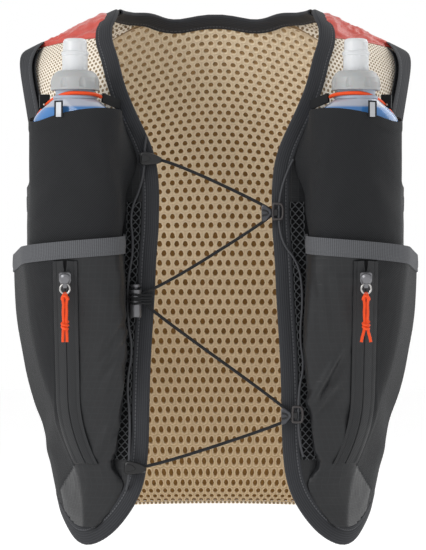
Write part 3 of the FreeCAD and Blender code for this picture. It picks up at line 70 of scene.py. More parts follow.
# Half widths at the chest and the shoulder, how far the hem comes in below WAIST_TOP, and half depths.
CHEST_HALF, SHOULDER_HALF, HEM_IN, WAIST_TOP, HEM_DEEP, CHEST_DEEP = 156.0, 168.0, 32.0, 220.0, 98.0, 108.0
RIDGE_TOP = 485.0
# Distances from the middle of the neck's edge, the back neckline's corner and the shoulder's outer corner.
NECK, BACK_CORNER, CORNER = 85.0, 62.0, 158.0
ARM_LOW, NECKLINE, SIDE_HEM, BACK_HEM = 268.0, 437.0, 24.0, 15.0
YOKE_DROP, COLLAR_SHARE = 27.0, 0.42
# Thickness of a panel, a pocket's wall and a layer, the gap at a seam, and the edge tape with its slack.
PANEL, WALL, LAYER, SEAM, TAPE, SLACK, BINDING = 1.2, 1.0, 0.6, 0.3, 0.7, 1.1, 14.0
NET_WIDE = 12.5
EDGE_INSET = TAPE + SEAM + 2.2
INSET_TURN = math.degrees(EDGE_INSET / 130)


def ease(value):
    """0 to 1, smooth at both ends."""
    value = max(0.0, min(1.0, value))
    return value * value * (3 - 2 * value)


def mix(low, high, share):
    return low + (high - low) * share


def power(value, exponent):
    return math.copysign(abs(value) ** exponent, value)


def half_width(up):
    """Half the torso's width; above the chest, up follows the cloth over the shoulder."""
    if up < WAIST_TOP:
        return CHEST_HALF - HEM_IN * (1 - up / WAIST_TOP) ** 1.6
    return mix(CHEST_HALF, SHOULDER_HALF, ease((up - CHEST) / ARCH * 0.9))


def half_depth(up):
    return mix(HEM_DEEP, CHEST_DEEP, ease(up / CHEST))


def ridge(x):
    """Height of the shoulder's ridge at a distance from the middle."""
    return RIDGE_TOP - 0.5 * math.hypot(x, 40)


def skin(turn, up):
    """A point of the torso. turn is 0 at the breastbone, 90 at the wearer's left side, 180 at the spine."""
    angle = math.radians(turn)
    x = half_width(up) * power(math.sin(angle), 2 / POWER)
    depth, height = 1.0, up
    if up > CHEST:
        climb = math.radians(min(QUARTER, (up - CHEST) / ARCH * QUARTER))
        height = CHEST + math.sin(climb) ** (2 / POWER) * (ridge(x) - CHEST)
        depth = max(0.0, math.cos(climb)) ** (2 / POWER)
    return Vector((x, -half_depth(up) * power(math.cos(angle), 2 / POWER) * depth, height))


def climbed(x, z):
    """How far up the cloth a height above the chest is, at a distance from the middle."""
    share = min(1.0, (z - CHEST) / (ridge(x) - CHEST))
    return CHEST + ARCH * math.degrees(math.asin(share ** (POWER / 2))) / QUARTER


def turn_at(x, up):
    """The turn at which the torso is that far from the middle."""
    return math.degrees(math.asin(min(1.0, (abs(x) / half_width(up)) ** (POWER / 2))))


def on_skin(x, z, back=False):
    """The (turn, up) of the place at that x and z on the front or the back."""
    up = climbed(x, z) if z > CHEST else z
    turn = turn_at(x, up)
    if back:
        turn = 180 - turn
    return Vector((math.copysign(turn, x), up, 0))


def outward(turn, up):
    low, high = max(0.0, up - 1.5), min(TOP, up + 1.5)
    across = skin(turn + 0.4, up) - skin(turn - 0.4, up)
    along = skin(turn, high) - skin(turn, low)
    if across.length < 1e-6 or along.length < 1e-6:
        return Vector((0, 0, 1))
    return across.cross(along).normalized()


def raised(turn, up, lift):
    return skin(turn, up) + outward(turn, up) * lift


def smooth(points, count):
    """Evenly spaced places along the smooth curve through a few (turn, up) points."""
    spots = np.array([(p[0], p[1]) for p in points], float)
    knots = np.concatenate([[0], np.cumsum(np.linalg.norm(np.diff(spots, axis=0), axis=1))])
    gaps, n = np.diff(knots), len(spots)
    left, right = np.zeros((n, n)), np.zeros((n, 2))
    left[0, 0] = left[-1, -1] = 1
    for k in range(1, n - 1):
        left[k, k - 1], left[k, k], left[k, k + 1] = gaps[k - 1], 2 * (gaps[k - 1] + gaps[k]), gaps[k]
        right[k] = 6 * ((spots[k + 1] - spots[k]) / gaps[k] - (spots[k] - spots[k - 1]) / gaps[k - 1])
    bend = np.linalg.solve(left, right)
    fine = np.linspace(0, knots[-1], 60 * n)
    k = np.clip(np.searchsorted(knots, fine, side="right") - 1, 0, n - 2)
    h = gaps[k][:, None]
    a, b = (knots[k + 1] - fine)[:, None], (fine - knots[k])[:, None]
    curve = (bend[k] * a ** 3 + bend[k + 1] * b ** 3) / (6 * h) + (spots[k] / h - bend[k] * h / 6) * a + (
        spots[k + 1] / h - bend[k + 1] * h / 6) * b
    walked = np.concatenate([[0], np.cumsum(np.linalg.norm(np.diff(curve, axis=0), axis=1))])
    even = np.linspace(0, walked[-1], count)
    return [Vector((x, y, 0)) for x, y in zip(np.interp(even, walked, curve[:, 0]),
                                            np.interp(even, walked, curve[:, 1]))]


# ------------------------------------------------------------------ outlines of the cut
FRONT_EDGE = [(NECK, ridge(NECK)), (80, 398), (71, 364), (59, 337), (49, 312), (45.5, 286), (46.5, 244),
              (49, 200), (52, 150), (53.5, 100), (55.5, 62), (61, 40), (74, 20), (92, 5), (111, 0.5),
              (122, 9)]
ARMHOLE_FRONT = [(CORNER, ridge(CORNER)), (160, 385), (156, 362), (151, 335), (149, 308)]


def front_edge(side, count):
    points = [on_skin(x, z) for x, z in FRONT_EDGE] + [Vector((QUARTER, SIDE_HEM, 0))]
    return [Vector((side * p.x, p.y, 0)) for p in smooth(points, count)]


def armhole(side, count):
    front = [on_skin(x, z) for x, z in ARMHOLE_FRONT]
    under = [Vector((74, ARM_LOW + 9, 0)), Vector((QUARTER, ARM_LOW, 0)), Vector((106, ARM_LOW + 9, 0))]
    back = [Vector((180 - p.x, p.y, 0)) for p in reversed(front)]
    return [Vector((side * p.x, p.y, 0)) for p in smooth(front + under + back, count)]


def neckline(count):
    half = [on_skin(NECK, ridge(NECK), back=True)]
    half += [on_skin(x, min(NECKLINE, ridge(x)), back=True) for x in (74, 52, 28)]
    other = [Vector((360 - p.x, p.y, 0)) for p in reversed(half)]
    return smooth(half + [Vector((180, half[-1].y, 0))] + other, count)


def back_hem(count):
    spots = [(90, SIDE_HEM), (110, mix(SIDE_HEM, BACK_HEM, 0.6)), (140, BACK_HEM), (180, BACK_HEM),
             (220, BACK_HEM), (250, mix(SIDE_HEM, BACK_HEM, 0.6)), (270, SIDE_HEM)]
    return smooth(spots, count)


def edge_at(path, up):
    for a, b in zip(path, path[1:]):
        if min(a.y, b.y) <= up <= max(a.y, b.y) and a.y != b.y:
            return mix(a.x, b.x, (up - a.y) / (b.y - a.y))
    return path[0].x if abs(path[0].y - up) < abs(path[-1].y - up) else path[-1].x


FRONT_PATH = front_edge(1, 120)
FRONT_TIP = min(range(len(FRONT_PATH)), key=lambda k: FRONT_PATH[k].y)
ARM_PATH = [p for p in armhole(1, 160) if p.x <= QUARTER + 0.5]


def front_turn(up):
    return edge_at(FRONT_PATH[:FRONT_TIP + 1], up)


def arm_turn(up):
    return QUARTER if up <= ARM_LOW else edge_at(ARM_PATH, up)


def yoke_front(x):
    """Height of the yoke's front edge, which slants down from the shoulder's corner to the neck."""
    share = (CORNER - abs(x)) / (CORNER - NECK)
    return ridge(x) - YOKE_DROP * max(0.04, min(1.0, share))


def yoke_back(share):
    near = on_skin(BACK_CORNER, NECKLINE - EDGE_INSET, back=True)
    far = on_skin(CORNER - 10, ridge(CORNER - 10) - 33, back=True)
    return near.lerp(far, share)


def arm_inset(up):
    return INSET_TURN * mix(0.1, 1.0, ease((up - ARM_LOW + 6) / 8))


def panel_place(u, v):
    """(turn, up) on the front panel; u from its free edge to the side, v from the hem to the yoke."""
    top_in, top_out = on_skin(NECK, yoke_front(NECK)), on_skin(CORNER, yoke_front(CORNER))
    up_in, up_out = mix(FRONT_PATH[FRONT_TIP].y, top_in.y, v), mix(SIDE_HEM, top_out.y, v)
    turn_in = front_turn(up_in) + INSET_TURN
    turn_out = arm_turn(up_out) - arm_inset(up_out)
    return Vector((mix(turn_in, turn_out, u), mix(up_in, up_out, u) + EDGE_INSET * (1 - v), 0))


def back_top(share):
    """The back panel's top edge: the neckline, then the yoke's lower edge."""
    if share > COLLAR_SHARE:
        return yoke_back((share - COLLAR_SHARE) / (1 - COLLAR_SHARE))
    return on_skin(max(0.01, BACK_CORNER * share / COLLAR_SHARE), NECKLINE - EDGE_INSET, back=True)


def back_place(u, v):
    """(turn, up) on the back panel; u across from the wearer's left to right, v from hem to neckline."""
    share = abs(2 * u - 1)
    bottom = mix(BACK_HEM, SIDE_HEM, ease((share - 0.45) / 0.55)) + EDGE_INSET
    top, corner = back_top(share), yoke_back(1)
    edge_up = mix(SIDE_HEM + EDGE_INSET, corner.y, v)
    edge = 180 - arm_turn(edge_up) + arm_inset(edge_up)
    turn = mix(mix(180, QUARTER, share), top.x, v) + (edge - mix(QUARTER, corner.x, v)) * share ** 3
    return Vector((turn if u < 0.5 else 360 - turn, mix(bottom, top.y, v) - SEAM * v, 0))


def yoke_place(u, v):
    """(turn, up) on a shoulder yoke; u from the neck to the arm, v over the ridge from front to back."""
    inner_x, outer_x = NECK + EDGE_INSET, CORNER - EDGE_INSET
    if v <= 0.5:
        share = 2 * v
        inner_up = mix(on_skin(inner_x, yoke_front(inner_x)).y, TOP, share)
        outer_up = mix(on_skin(outer_x, yoke_front(outer_x)).y, TOP, share)
        inner = Vector((turn_at(inner_x, inner_up), inner_up, 0))
        outer = Vector((turn_at(outer_x, outer_up), outer_up, 0))
    else:
        share = 2 * v - 1
        near, far = yoke_back(0), yoke_back(1)
        far_up = mix(TOP, far.y, share)
        x = mix(inner_x, BACK_CORNER, share ** 0.5)
        level = mix(ridge(inner_x), NECKLINE - EDGE_INSET, min(1, share * 4))
        inner = near if share == 1 else on_skin(x, min(ridge(x), level), back=True)
        outer = Vector((180 - turn_at(mix(outer_x, CORNER - 10, share), far_up), far_up, 0))
    spot = inner.lerp(outer, u) + Vector((0, SEAM * 4 * abs(1 - 2 * v), 0))
    if v > 0.5:
        spot += (yoke_back(u) - near.lerp(far, u)) * share ** 3
    return spot


# ------------------------------------------------------------------ the pockets' surfaces
FLASK, FLASK_TURN = Vector((113, -117, 0)), 25.0
# Half width and depth of a full bladder, the height of its foot, and where it is full.
BLADDER_WIDE, BLADDER_DEEP, BLADDER_FOOT, FULL_LOW = 37.0, 22.5, 190.0, 232.0
# The flask pocket from FOOT to RIM; the lower pocket from ZIP_FOOT to its mouth band's upper edge.
RIM, FOOT, BAND_INNER, BAND_OUTER, BAND_TALL, ZIP_FOOT = 345.0, 182.0, 249.0, 230.0, 14.0, 30.0
ZIP_SEAT = WALL + SEAM * 3.5


def oval(centre, turn, across, deep, count=28):
    c, s = math.cos(math.radians(turn)), math.sin(math.radians(turn))
    ring = []
    for k in range(count):
        a = 2 * math.pi * k / count
        x, y = across * math.cos(a), deep * math.sin(a)
        ring.append(Vector((centre.x + x * c - y * s, centre.y + x * s + y * c, 0)))
    return ring


def taut(points, first, last):
    """The way that stretched cloth takes round some points, from first to last."""
    spots = sorted(points + [first, last], key=lambda p: (p.x, p.y))

    def chain(order):
        way = []
        for p in order:
            while len(way) > 1 and (way[-1] - way[-2]).cross(p - way[-2]).z <= 0:
                way.pop()
            way.append(p)
        return way[:-1]

    ring = chain(spots) + chain(list(reversed(spots)))
    start = min(range(len(ring)), key=lambda k: (ring[k] - first).length)
    ring = ring[start:] + ring[:start]
    stop = min(range(len(ring)), key=lambda k: (ring[k] - last).length)
    return ring[:stop + 1]


def spaced(way, count):
    """Points evenly spaced along a way of straight runs, with the outward direction at each."""
    total = sum((b - a).length for a, b in zip(way, way[1:]))
    points, walked, k = [], 0.0, 0
    for n in range(count + 1):
        goal = total * n / count
        while k < len(way) - 2 and walked + (way[k + 1] - way[k]).length < goal:
            walked += (way[k + 1] - way[k]).length
            k += 1
        step = way[k + 1] - way[k]
        points.append(way[k] + step * min(1.0, (goal - walked) / step.length))
    facing = []
    for n in range(count + 1):
        run = points[min(n + 1, count)] - points[max(n - 1, 0)]
        facing.append(Vector((run.y, -run.x, 0)).normalized())
    return points, facing, total


def up_at(turn, z):
    """How far up the cloth the place at that turn and height is."""
    up = z
    for _ in range(5 if z > CHEST else 0):
        up = climbed(half_width(up) * power(math.sin(math.radians(turn)), 2 / POWER), z)
    return up


def free_x(z):
    """Distance of the front panel's free edge from the middle."""
    up = z
    for _ in range(4 if z > CHEST else 0):
        up = up_at(front_turn(up), z)
    return skin(front_turn(up), up).x


def pocket_seam(z):
    """Distance from the middle of the pockets' inner seam: past the net tape, or beside the edge tape."""
    beside = max(ease((z - 277) / 35), ease((64 - z) / 20))
    return free_x(z) + mix(BINDING + NET_WIDE + 1, BINDING + 1.5, beside) + SEAM


def skin_line(z, lift, inset=0.0, count=14):
    start = on_skin(pocket_seam(z) + inset, z).x
    edge = arm_turn(up_at(start, z)) if z > ARM_LOW else QUARTER
    stop = edge - math.degrees(BINDING / 150) * ease((z - ARM_LOW + 20) / 20) - 2
    line = []
    for k in range(count + 1):
        turn = mix(start, stop, k / count)
        p = raised(turn, up_at(turn, z), lift)
        line.append(Vector((p.x, p.y, 0)))
    return line


def flask_pocket_way(z):
    """The flask pocket's section: pulled tight over the bladder from the inner seam to the armhole."""
    base = skin_line(z, PANEL + LAYER, (WALL + LAYER * 2) * (1 - ease((z - 249) / 20)))
    share, around = (z + 5 - BLADDER_FOOT) / (FULL_LOW - BLADDER_FOOT), []
    if share > 0:
        swell = math.sin(math.radians(QUARTER) * min(1.0, share))
        wide, deep = mix(0.8, 1.0, swell) * BLADDER_WIDE + 2, mix(2.2, BLADDER_DEEP, swell) + 2
        around = oval(FLASK, FLASK_TURN, wide, deep)
    return taut(base + around, base[0], base[-1])


def zip_pocket_way(z):
    """The lower pocket's section: over its own filling, the flask above it and the body's flank."""
    lift = PANEL + LAYER + ease((z - 150) / 40) * (WALL + LAYER)
    base = skin_line(z, lift)
    full, knee = BLADDER_DEEP + WALL + 2 + 2.4, 110
    if z > knee:
        deep = mix(9, full, min(1, (z - knee) / (BAND_OUTER - knee)))
    else:
        deep = mix(1.5, 9, max(0, (z - ZIP_FOOT) / (knee - ZIP_FOOT)))
    wide = mix(16, BLADDER_WIDE + 6, ease((z - ZIP_FOOT) / 150))
    place = on_skin(FLASK.x - 12 - 10 * (1 - ease(z / 150)), z)
    centre = raised(place.x, place.y, lift + deep)
    around = oval(Vector((centre.x, centre.y, 0)), FLASK_TURN, wide, deep)
    over_flask = BLADDER_DEEP + 3 - 0.452 * max(0.0, 214 - z)
    if over_flask > 1:
        around += oval(FLASK, FLASK_TURN, (BLADDER_WIDE + 3) * mix(0.6, 1, ease((z - 160) / 40)), over_flask)
    outer = raised(78, z, lift + 11 * math.sin(math.radians(QUARTER * ease((z - 60) / 120))))
    around.append(Vector((outer.x, outer.y, 0)))
    inmost = base[0].x + mix(0.8, -9, ease((z - 56) / 40))
    around = [p for p in around if p.x > inmost]
    return taut(base + around, base[0], base[-1])


WAYS = {}


def way_at(way, z, count=40):
    """A pocket's section at a height as evenly spaced points, their outward directions and its length."""
    key = (way.__name__, round(z, 3))
    if key not in WAYS:
        WAYS[key] = spaced(way(z), count)
    return WAYS[key]


def pocket_point(way, u, z, lift, count=40):
    """A point on a pocket's wall: a share u of the way from its inner seam, lift outside its inner face."""
    points, facing, _ = way_at(way, z, count)
    k = min(int(u * count), count - 1)
    share = u * count - k
    n = facing[k].lerp(facing[k + 1], share).normalized()
    p = points[k].lerp(points[k + 1], share) + n * lift
    return Vector((p.x, p.y, z))


def nearest_way(z):
    """The height of the section that serves at z: there is one for every half millimetre."""
    return round(z * 2) / 2


def pocket_span(way, z):
    return way_at(way, nearest_way(z))[2]


def pocket_at(way, x, z, lift):
    """The share and the point of a pocket's wall at that x, on its front."""
    low, high = 0.0, 0.75
    for _ in range(22):
        middle = (low + high) / 2
        if pocket_point(way, middle, z, lift).x < x:
            low = middle
        else:
            high = middle
    return low, pocket_point(way, low, z, lift)


def band_low(u):
    return mix(BAND_INNER, BAND_OUTER, u) - BAND_TALL


ZIP_X = 119.5


def zip_x(z):
    """Distance of the lower pocket's zip from the middle: straight above, curving in below."""
    return ZIP_X - 0.0045 * max(0.0, 118 - z) ** 2


# ------------------------------------------------------------------ which body each piece rides
def attach(piece, body, slot, *nodes):
    """Says which body a piece rides, which finish it has and which solids it stands for."""
    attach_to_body(piece, body)
    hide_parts(*nodes)


# ------------------------------------------------------------------ meshes
def hang(p):
    """The fronts' tips hang a little lower than the pattern when the vest stands open."""
    return p - Vector((0, 0, 7 * max(0.0, 1 - p.z / 75) ** 2 * ease((-p.y - 20) / 50)))


def link(obj):
    bpy.context.scene.collection.objects.link(obj)
    return obj


def make_mesh(name, points, faces, cloth=None, tone=None, looks=(), slots=None, sharp=40):
    """A mesh object from points in millimetres, with its cloth directions and tone stored on the points."""
    mesh = bpy.data.meshes.new(name)
    mesh.from_pydata([(p[0] * MM, p[1] * MM, p[2] * MM) for p in points], [], faces)
    for look in looks:
        mesh.materials.append(MATERIALS[look])
    if slots is not None:
        mesh.polygons.foreach_set("material_index", slots)
    mesh.polygons.foreach_set("use_smooth", [True] * len(mesh.polygons))
    if cloth is not None:
        data = mesh.attributes.new("cloth", "FLOAT_VECTOR", "POINT")
        data.data.foreach_set("vector", [c for p in cloth for c in p])
    if tone is not None:
        data = mesh.attributes.new("tone", "FLOAT", "POINT")
        data.data.foreach_set("value", tone)
    mesh.update()
    if sharp:
        mesh.set_sharp_from_angle(angle=math.radians(sharp))
    return link(bpy.data.objects.new(name, mesh))


def sheet(name, inner, outer, cloth, looks, slot_of=None):
    """A closed sheet between two like grids of points; slot_of(row, column, layer) picks a face's finish.

    The layer is 0 on the outer face, 1 on the inner one and 2 round the edge.
    """
    rows, columns = len(outer), len(outer[0])
    count = rows * columns
    points = [p for grid in (outer, inner) for line in grid for p in line]
    marks = [c for line in cloth for c in line]
    faces, slots = [], []

    def add(face, i, j, layer):
        faces.append(face)
        slots.append(slot_of(i, j, layer) if slot_of else 0)

    for i in range(rows - 1):
        for j in range(columns - 1):
            a = i * columns + j
            add((a, a + 1, a + columns + 1, a + columns), i, j, 0)
            a += count
            add((a, a + columns, a + columns + 1, a + 1), i, j, 1)
    for j in range(columns - 1):
        add((j, j + count, j + count + 1, j + 1), 0, j, 2)
        a = (rows - 1) * columns + j
        add((a, a + 1, a + count + 1, a + count), rows - 2, j, 2)
    for i in range(rows - 1):
        a, b = i * columns, (i + 1) * columns
        add((a, b, b + count, a + count), i, 0, 2)
        a, b = a + columns - 1, b + columns - 1
        add((a, a + count, b + count, b), i, columns - 2, 2)
    obj = make_mesh(name, points, faces, marks + marks, None, looks, slots)
    if (outer[0][0] - inner[0][0]).dot((outer[0][1] - outer[0][0]).cross(outer[1][0] - outer[0][0])) < 0:
        obj.data.flip_normals()
    return obj


def grid_size(grid):
    """(width, length, area) of a grid of points, in metres."""
    columns = list(zip(*grid))
    width = max(line_length(line) for line in grid)
    length = max(line_length(column) for column in columns[::max(1, len(columns) // 6)])
    area = 0.0
    for line, after in zip(grid, grid[1:]):
        for a, b, c, d in zip(line, line[1:], after[1:], after):
            area += ((b - a).cross(c - a).length + (c - a).cross(d - a).length) / 2
    return width * MM, length * MM, area * MM * MM


def stretched(obj, grid):
    """Declares a panel of stretched cloth by the size it was cut to."""
    width, length, area = grid_size(grid)
    max(0.31 * width * length, min(area, width * length))


def ring_faces(rings, count, closed=False, start=0):
    """Faces between rings of count points each, and from the last ring to the first where closed."""
    faces = []
    for r in range(rings if closed else rings - 1):
        above = (r + 1) % rings
        for k in range(count):
            after = (k + 1) % count
            faces.append(tuple(start + spot for spot in (r * count + k, r * count + after,
                                                         above * count + after, above * count + k)))
    return faces


def frames_along(places, toward):
    """Frames at (turn, up) places; toward is 1 where the cloth lies left of the way, seen from outside."""
    points = [skin(p.x, p.y) for p in places]
    frames = []
    for k, (place, point) in enumerate(zip(places, points)):
        way = points[min(k + 1, len(points) - 1)] - points[max(k - 1, 0)]
        out = outward(place.x, place.y)
        frames.append((point, (out.cross(way) * toward).normalized(), out))
    return frames


def ribbon(name, frames, profile, marks, materials):
    """One closed profile carried along frames; marks are the cloth coordinate across the profile."""
    count = len(profile)
    points, cloth, walked = [], [], 0.0
    for k, (p, side, out) in enumerate(frames):
        if k:
            walked += (p - frames[k - 1][0]).length
        points += [hang(p + side * a + out * b) for a, b in profile]
        cloth += [(walked, m, 0) for m in marks]
    last = (len(frames) - 1) * count
    ends = [tuple(reversed(range(count))), tuple(range(last, last + count))]
    obj = make_mesh(name, points, ring_faces(len(frames), count) + ends, cloth, None, materials, None, 50)
    fix_normals(obj)
    return obj


def fix_normals(obj):
    """Turns the faces outwards where the mesh's signed volume is negative."""
    mesh = obj.data
    mesh.calc_loop_triangles()
    volume = 0.0
    for t in mesh.loop_triangles:
        a, b, c = (mesh.vertices[i].co for i in t.vertices)
        volume += a.dot(b.cross(c))
    if volume < 0:
        mesh.flip_normals()


def flowing(points, steps=6):
    """Points along the smooth curve through some points, for shapes that aren't free cords."""
    way = []
    spots = [points[0]] + list(points) + [points[-1]]
    for a, b, c, d in zip(spots, spots[1:], spots[2:], spots[3:]):
        for k in range(steps):
            t = k / steps
            way.append(0.5 * ((2 * b) + (c - a) * t + (2 * a - 5 * b + 4 * c - d) * t ** 2
                              + (3 * b - a - 3 * c + d) * t ** 3))
    return way + [points[-1]]


def tube(name, way, radius, material, sides=10, closed=False, ripple=0.0):
    """A round tube along close points; cloth coordinates run along and around it."""
    n = len(way)
    runs = [(way[(k + 1) % n] - way[k - 1]) if closed else (way[min(k + 1, n - 1)] - way[max(k - 1, 0)])
            for k in range(n)]
    side = runs[0].normalized().orthogonal().normalized()
    points, cloth, walked = [], [], 0.0
    for k in range(n):
        along = runs[k].normalized()
        side = (side - along * side.dot(along)).normalized()
        other = along.cross(side)
        if k:
            walked += (way[k] - way[k - 1]).length
        for s in range(sides):
            a = 2 * math.pi * s / sides
            r = radius * (1 + ripple * math.sin(walked * 2.4 / radius + 2 * a))
            points.append(way[k] + side * (r * math.cos(a)) + other * (r * math.sin(a)))
            cloth.append((walked, s * 2 * math.pi * radius / sides, 0))
    faces = ring_faces(n, sides, closed)
    if not closed:
        faces.append(tuple(reversed(range(sides))))
        faces.append(tuple(range((n - 1) * sides, n * sides)))
    return make_mesh(name, points, faces, cloth, None, [material], None, 60)


def joined(name, parts):
    """One object from several meshes, keeping their materials."""
    for p in parts:
        p.select_set(False)
    with bpy.context.temp_override(active_object=parts[0], selected_editable_objects=parts, object=parts[0]):
        bpy.ops.object.join()
    parts[0].name = name
    parts[0].data.name = name
    return parts[0]


# ------------------------------------------------------------------ shader node groups
def linear(colour):
    """Linear colour from sRGB values of 0 to 255."""
    values = [c / 255 for c in colour]
    return tuple(c / 12.92 if c <= 0.04045 else ((c + 0.055) / 1.055) ** 2.4 for c in values)


def rgba(colour):
    return (*colour, 1.0)


class Nodes:
    """Short calls for the nodes of a shader tree."""
    tree = None

    def add(self, kind, **values):
        node = self.tree.nodes.new("ShaderNode" + kind)
        for label, value in values.items():
            setattr(node, label, value)
        return node

    def feed(self, socket, value):
        """Links a node's output to a socket, or sets the socket to a plain value."""
        if isinstance(value, bpy.types.NodeSocket):
            self.tree.links.new(value, socket)
        else:
            socket.default_value = value

    def math(self, operation, *values, clamp=False):
        node = self.add("Math", operation=operation, use_clamp=clamp)
        for socket, value in zip(node.inputs, values):
            self.feed(socket, value)
        return node.outputs[0]

    def mixed(self, share, low, high):
        """A colour between low and high."""
        node = self.add("Mix", data_type="RGBA")
        for index, value in ((0, share), (6, low), (7, high)):
            self.feed(node.inputs[index], value)
        return node.outputs[2]


class Group(Nodes):
    """A node group under construction; what goes in is (name, default), and what comes out is a value."""

    def __init__(self, name, inputs, outputs=("Height",), kind="Float"):
        self.tree = bpy.data.node_groups.new(name, "ShaderNodeTree")
        self.socket("Cloth", "INPUT", "Vector")
        for label, value in inputs:
            sort = "Float" if isinstance(value, float) else "Color"
            self.socket(label, "INPUT", sort).default_value = value
        for label in outputs:
            self.socket(label, "OUTPUT", kind)
        self.source = self.tree.nodes.new("NodeGroupInput").outputs
        self.sink = self.tree.nodes.new("NodeGroupOutput").inputs

    def socket(self, label, way, kind):
        return self.tree.interface.new_socket(label, in_out=way, socket_type="NodeSocket" + kind)

    def cloth(self):
        """Places along and across the cloth, in millimetres."""
        node = self.add("SeparateXYZ")
        self.feed(node.inputs[0], self.source["Cloth"])
        return node.outputs[0], node.outputs[1]

    def noise(self, scale, detail):
        node = self.add("TexNoise")
        self.feed(node.inputs["Vector"], self.source["Cloth"])
        self.feed(node.inputs["Scale"], scale)
        self.feed(node.inputs["Detail"], detail)
        return node.outputs[0]

    def wave(self, value, pitch):
        """0 to 1 and back over one pitch."""
        turns = self.math("MULTIPLY", self.math("DIVIDE", value, pitch), 2 * math.pi)
        return self.math("MULTIPLY_ADD", self.math("SINE", turns), 0.5, 0.5)

    def between(self, share, low, high):
        """A value between low and high."""
        keep = self.math("SUBTRACT", 1.0, share)
        return self.math("ADD", self.math("MULTIPLY", low, keep), self.math("MULTIPLY", high, share))


def twill_group():
    g = Group("Twill ribs", [("Pitch", 1.7)])
    x, y = g.cloth()
    rib = g.wave(g.math("ADD", x, y), g.source["Pitch"])
    cross = g.wave(g.math("SUBTRACT", x, y), 0.9)
    g.feed(g.sink["Height"], g.math("MULTIPLY_ADD", cross, 0.25, g.math("MULTIPLY", rib, 0.75)))
    return g.tree


def ripstop_group():
    g = Group("Ripstop grid", [("Pitch", 5.0)])
    x, y = g.cloth()
    lines = []
    for value in (x, y):
        near = g.math("PINGPONG", value, g.math("MULTIPLY", g.source["Pitch"], 0.5))
        lines.append(g.math("SUBTRACT", 1.0, g.math("MULTIPLY", near, 1.6), clamp=True))
    grid = g.math("MAXIMUM", *lines)
    fine = g.wave(y, 1.1)
    g.feed(g.sink["Height"], g.math("MULTIPLY_ADD", grid, 0.5, g.math("MULTIPLY", fine, 0.5)))
    return g.tree


def ribs_group():
    """Ribs that run along the cloth, or across it where Along is 1."""
    g = Group("Elastic ribs", [("Along", 0.0), ("Pitch", 1.6)])
    x, y = g.cloth()
    rib = g.wave(g.between(g.source["Along"], y, x), g.source["Pitch"])
    knit = g.wave(g.between(g.source["Along"], x, y), 1.1)
    g.feed(g.sink["Height"], g.math("MULTIPLY_ADD", knit, 0.3, g.math("MULTIPLY", rib, 0.7)))
    return g.tree


def holes_group():
    """Round holes in staggered rows, with a raised rim."""
    g = Group("Knit holes", [("Across", 2.7), ("Tall", 2.9), ("Size", 0.3)], ("Hole", "Rim"))
    x, y = g.cloth()
    row = g.math("DIVIDE", y, g.source["Tall"])
    shift = g.math("MULTIPLY", g.math("MODULO", g.math("FLOOR", row), 2.0), 0.5)
    column = g.math("ADD", g.math("DIVIDE", x, g.source["Across"]), shift)
    dx = g.math("SUBTRACT", g.math("FRACT", column), 0.5)
    dy = g.math("SUBTRACT", g.math("FRACT", row), 0.5)
    tall = g.math("MULTIPLY", g.math("MULTIPLY", dy, dy), 0.75)
    reach = g.math("SQRT", g.math("ADD", g.math("MULTIPLY", dx, dx), tall))
    near = g.math("MULTIPLY", g.math("SUBTRACT", reach, g.source["Size"]), 9.0)
    g.feed(g.sink["Hole"], g.math("SUBTRACT", 0.5, near, clamp=True))
    rim = g.math("ABSOLUTE", g.math("SUBTRACT", near, 1.0))
    g.feed(g.sink["Rim"], g.math("SUBTRACT", 1.0, rim, clamp=True))
    return g.tree


def stitch_group():
    """A row of stitches at one place across the cloth."""
    g = Group("Stitch row", [("Place", 11.0), ("Pitch", 3.2)], ("Thread",))
    x, y = g.cloth()
    off = g.math("ABSOLUTE", g.math("SUBTRACT", y, g.source["Place"]))
    line = g.math("SUBTRACT", 1.5, g.math("DIVIDE", off, 0.4), clamp=True)
    dash = g.math("GREATER_THAN", g.math("FRACT", g.math("DIVIDE", x, g.source["Pitch"])), 0.35)
    g.feed(g.sink["Thread"], g.math("MULTIPLY", line, dash))
    return g.tree


def tone_group():
    """A colour made lighter and darker by the weave, by wide mottling and by fine speckle."""
    g = Group("Cloth tone", [("Color", (1, 1, 1, 1)), ("Weave", 0.5), ("Weave amount", 0.3),
                             ("Mottle amount", 0.15), ("Speckle amount", 0.1)], ("Color",), "Color")
    gain = 1.0
    for effect, value in (("Weave", g.source["Weave"]), ("Mottle", g.noise(0.035, 3.0)),
                          ("Speckle", g.noise(1.3, 1.0))):
        gain = g.math("MULTIPLY_ADD", g.math("SUBTRACT", value, 0.5), g.source[effect + " amount"], gain)
    node = g.add("VectorMath", operation="SCALE")
    g.feed(node.inputs[0], g.source["Color"])
    g.feed(node.inputs["Scale"], gain)
    g.feed(g.sink["Color"], node.outputs[0])
    return g.tree


def fade_group():
    """0 below one height of the cloth, 1 above another."""
    g = Group("Height fade", [("Low", 0.0), ("High", 400.0)], ("Share",))
    _, y = g.cloth()
    climb, whole = (g.math("SUBTRACT", value, g.source["Low"]) for value in (y, g.source["High"]))
    g.feed(g.sink["Share"], g.math("DIVIDE", climb, whole, clamp=True))
    return g.tree


def braid_group():
    g = Group("Braid", [("Pitch", 1.3)])
    x, y = g.cloth()
    one, two = (g.wave(g.math(way, x, y), g.source["Pitch"]) for way in ("ADD", "SUBTRACT"))
    g.feed(g.sink["Height"], g.math("MULTIPLY", one, two))
    return g.tree


def build_groups():
    """The effects that several materials share."""
    return {"twill": twill_group(), "ripstop": ripstop_group(), "ribs": ribs_group(), "holes": holes_group(),
            "stitch": stitch_group(), "tone": tone_group(), "fade": fade_group(), "braid": braid_group()}


GROUPS = {}
MATERIALS = {}


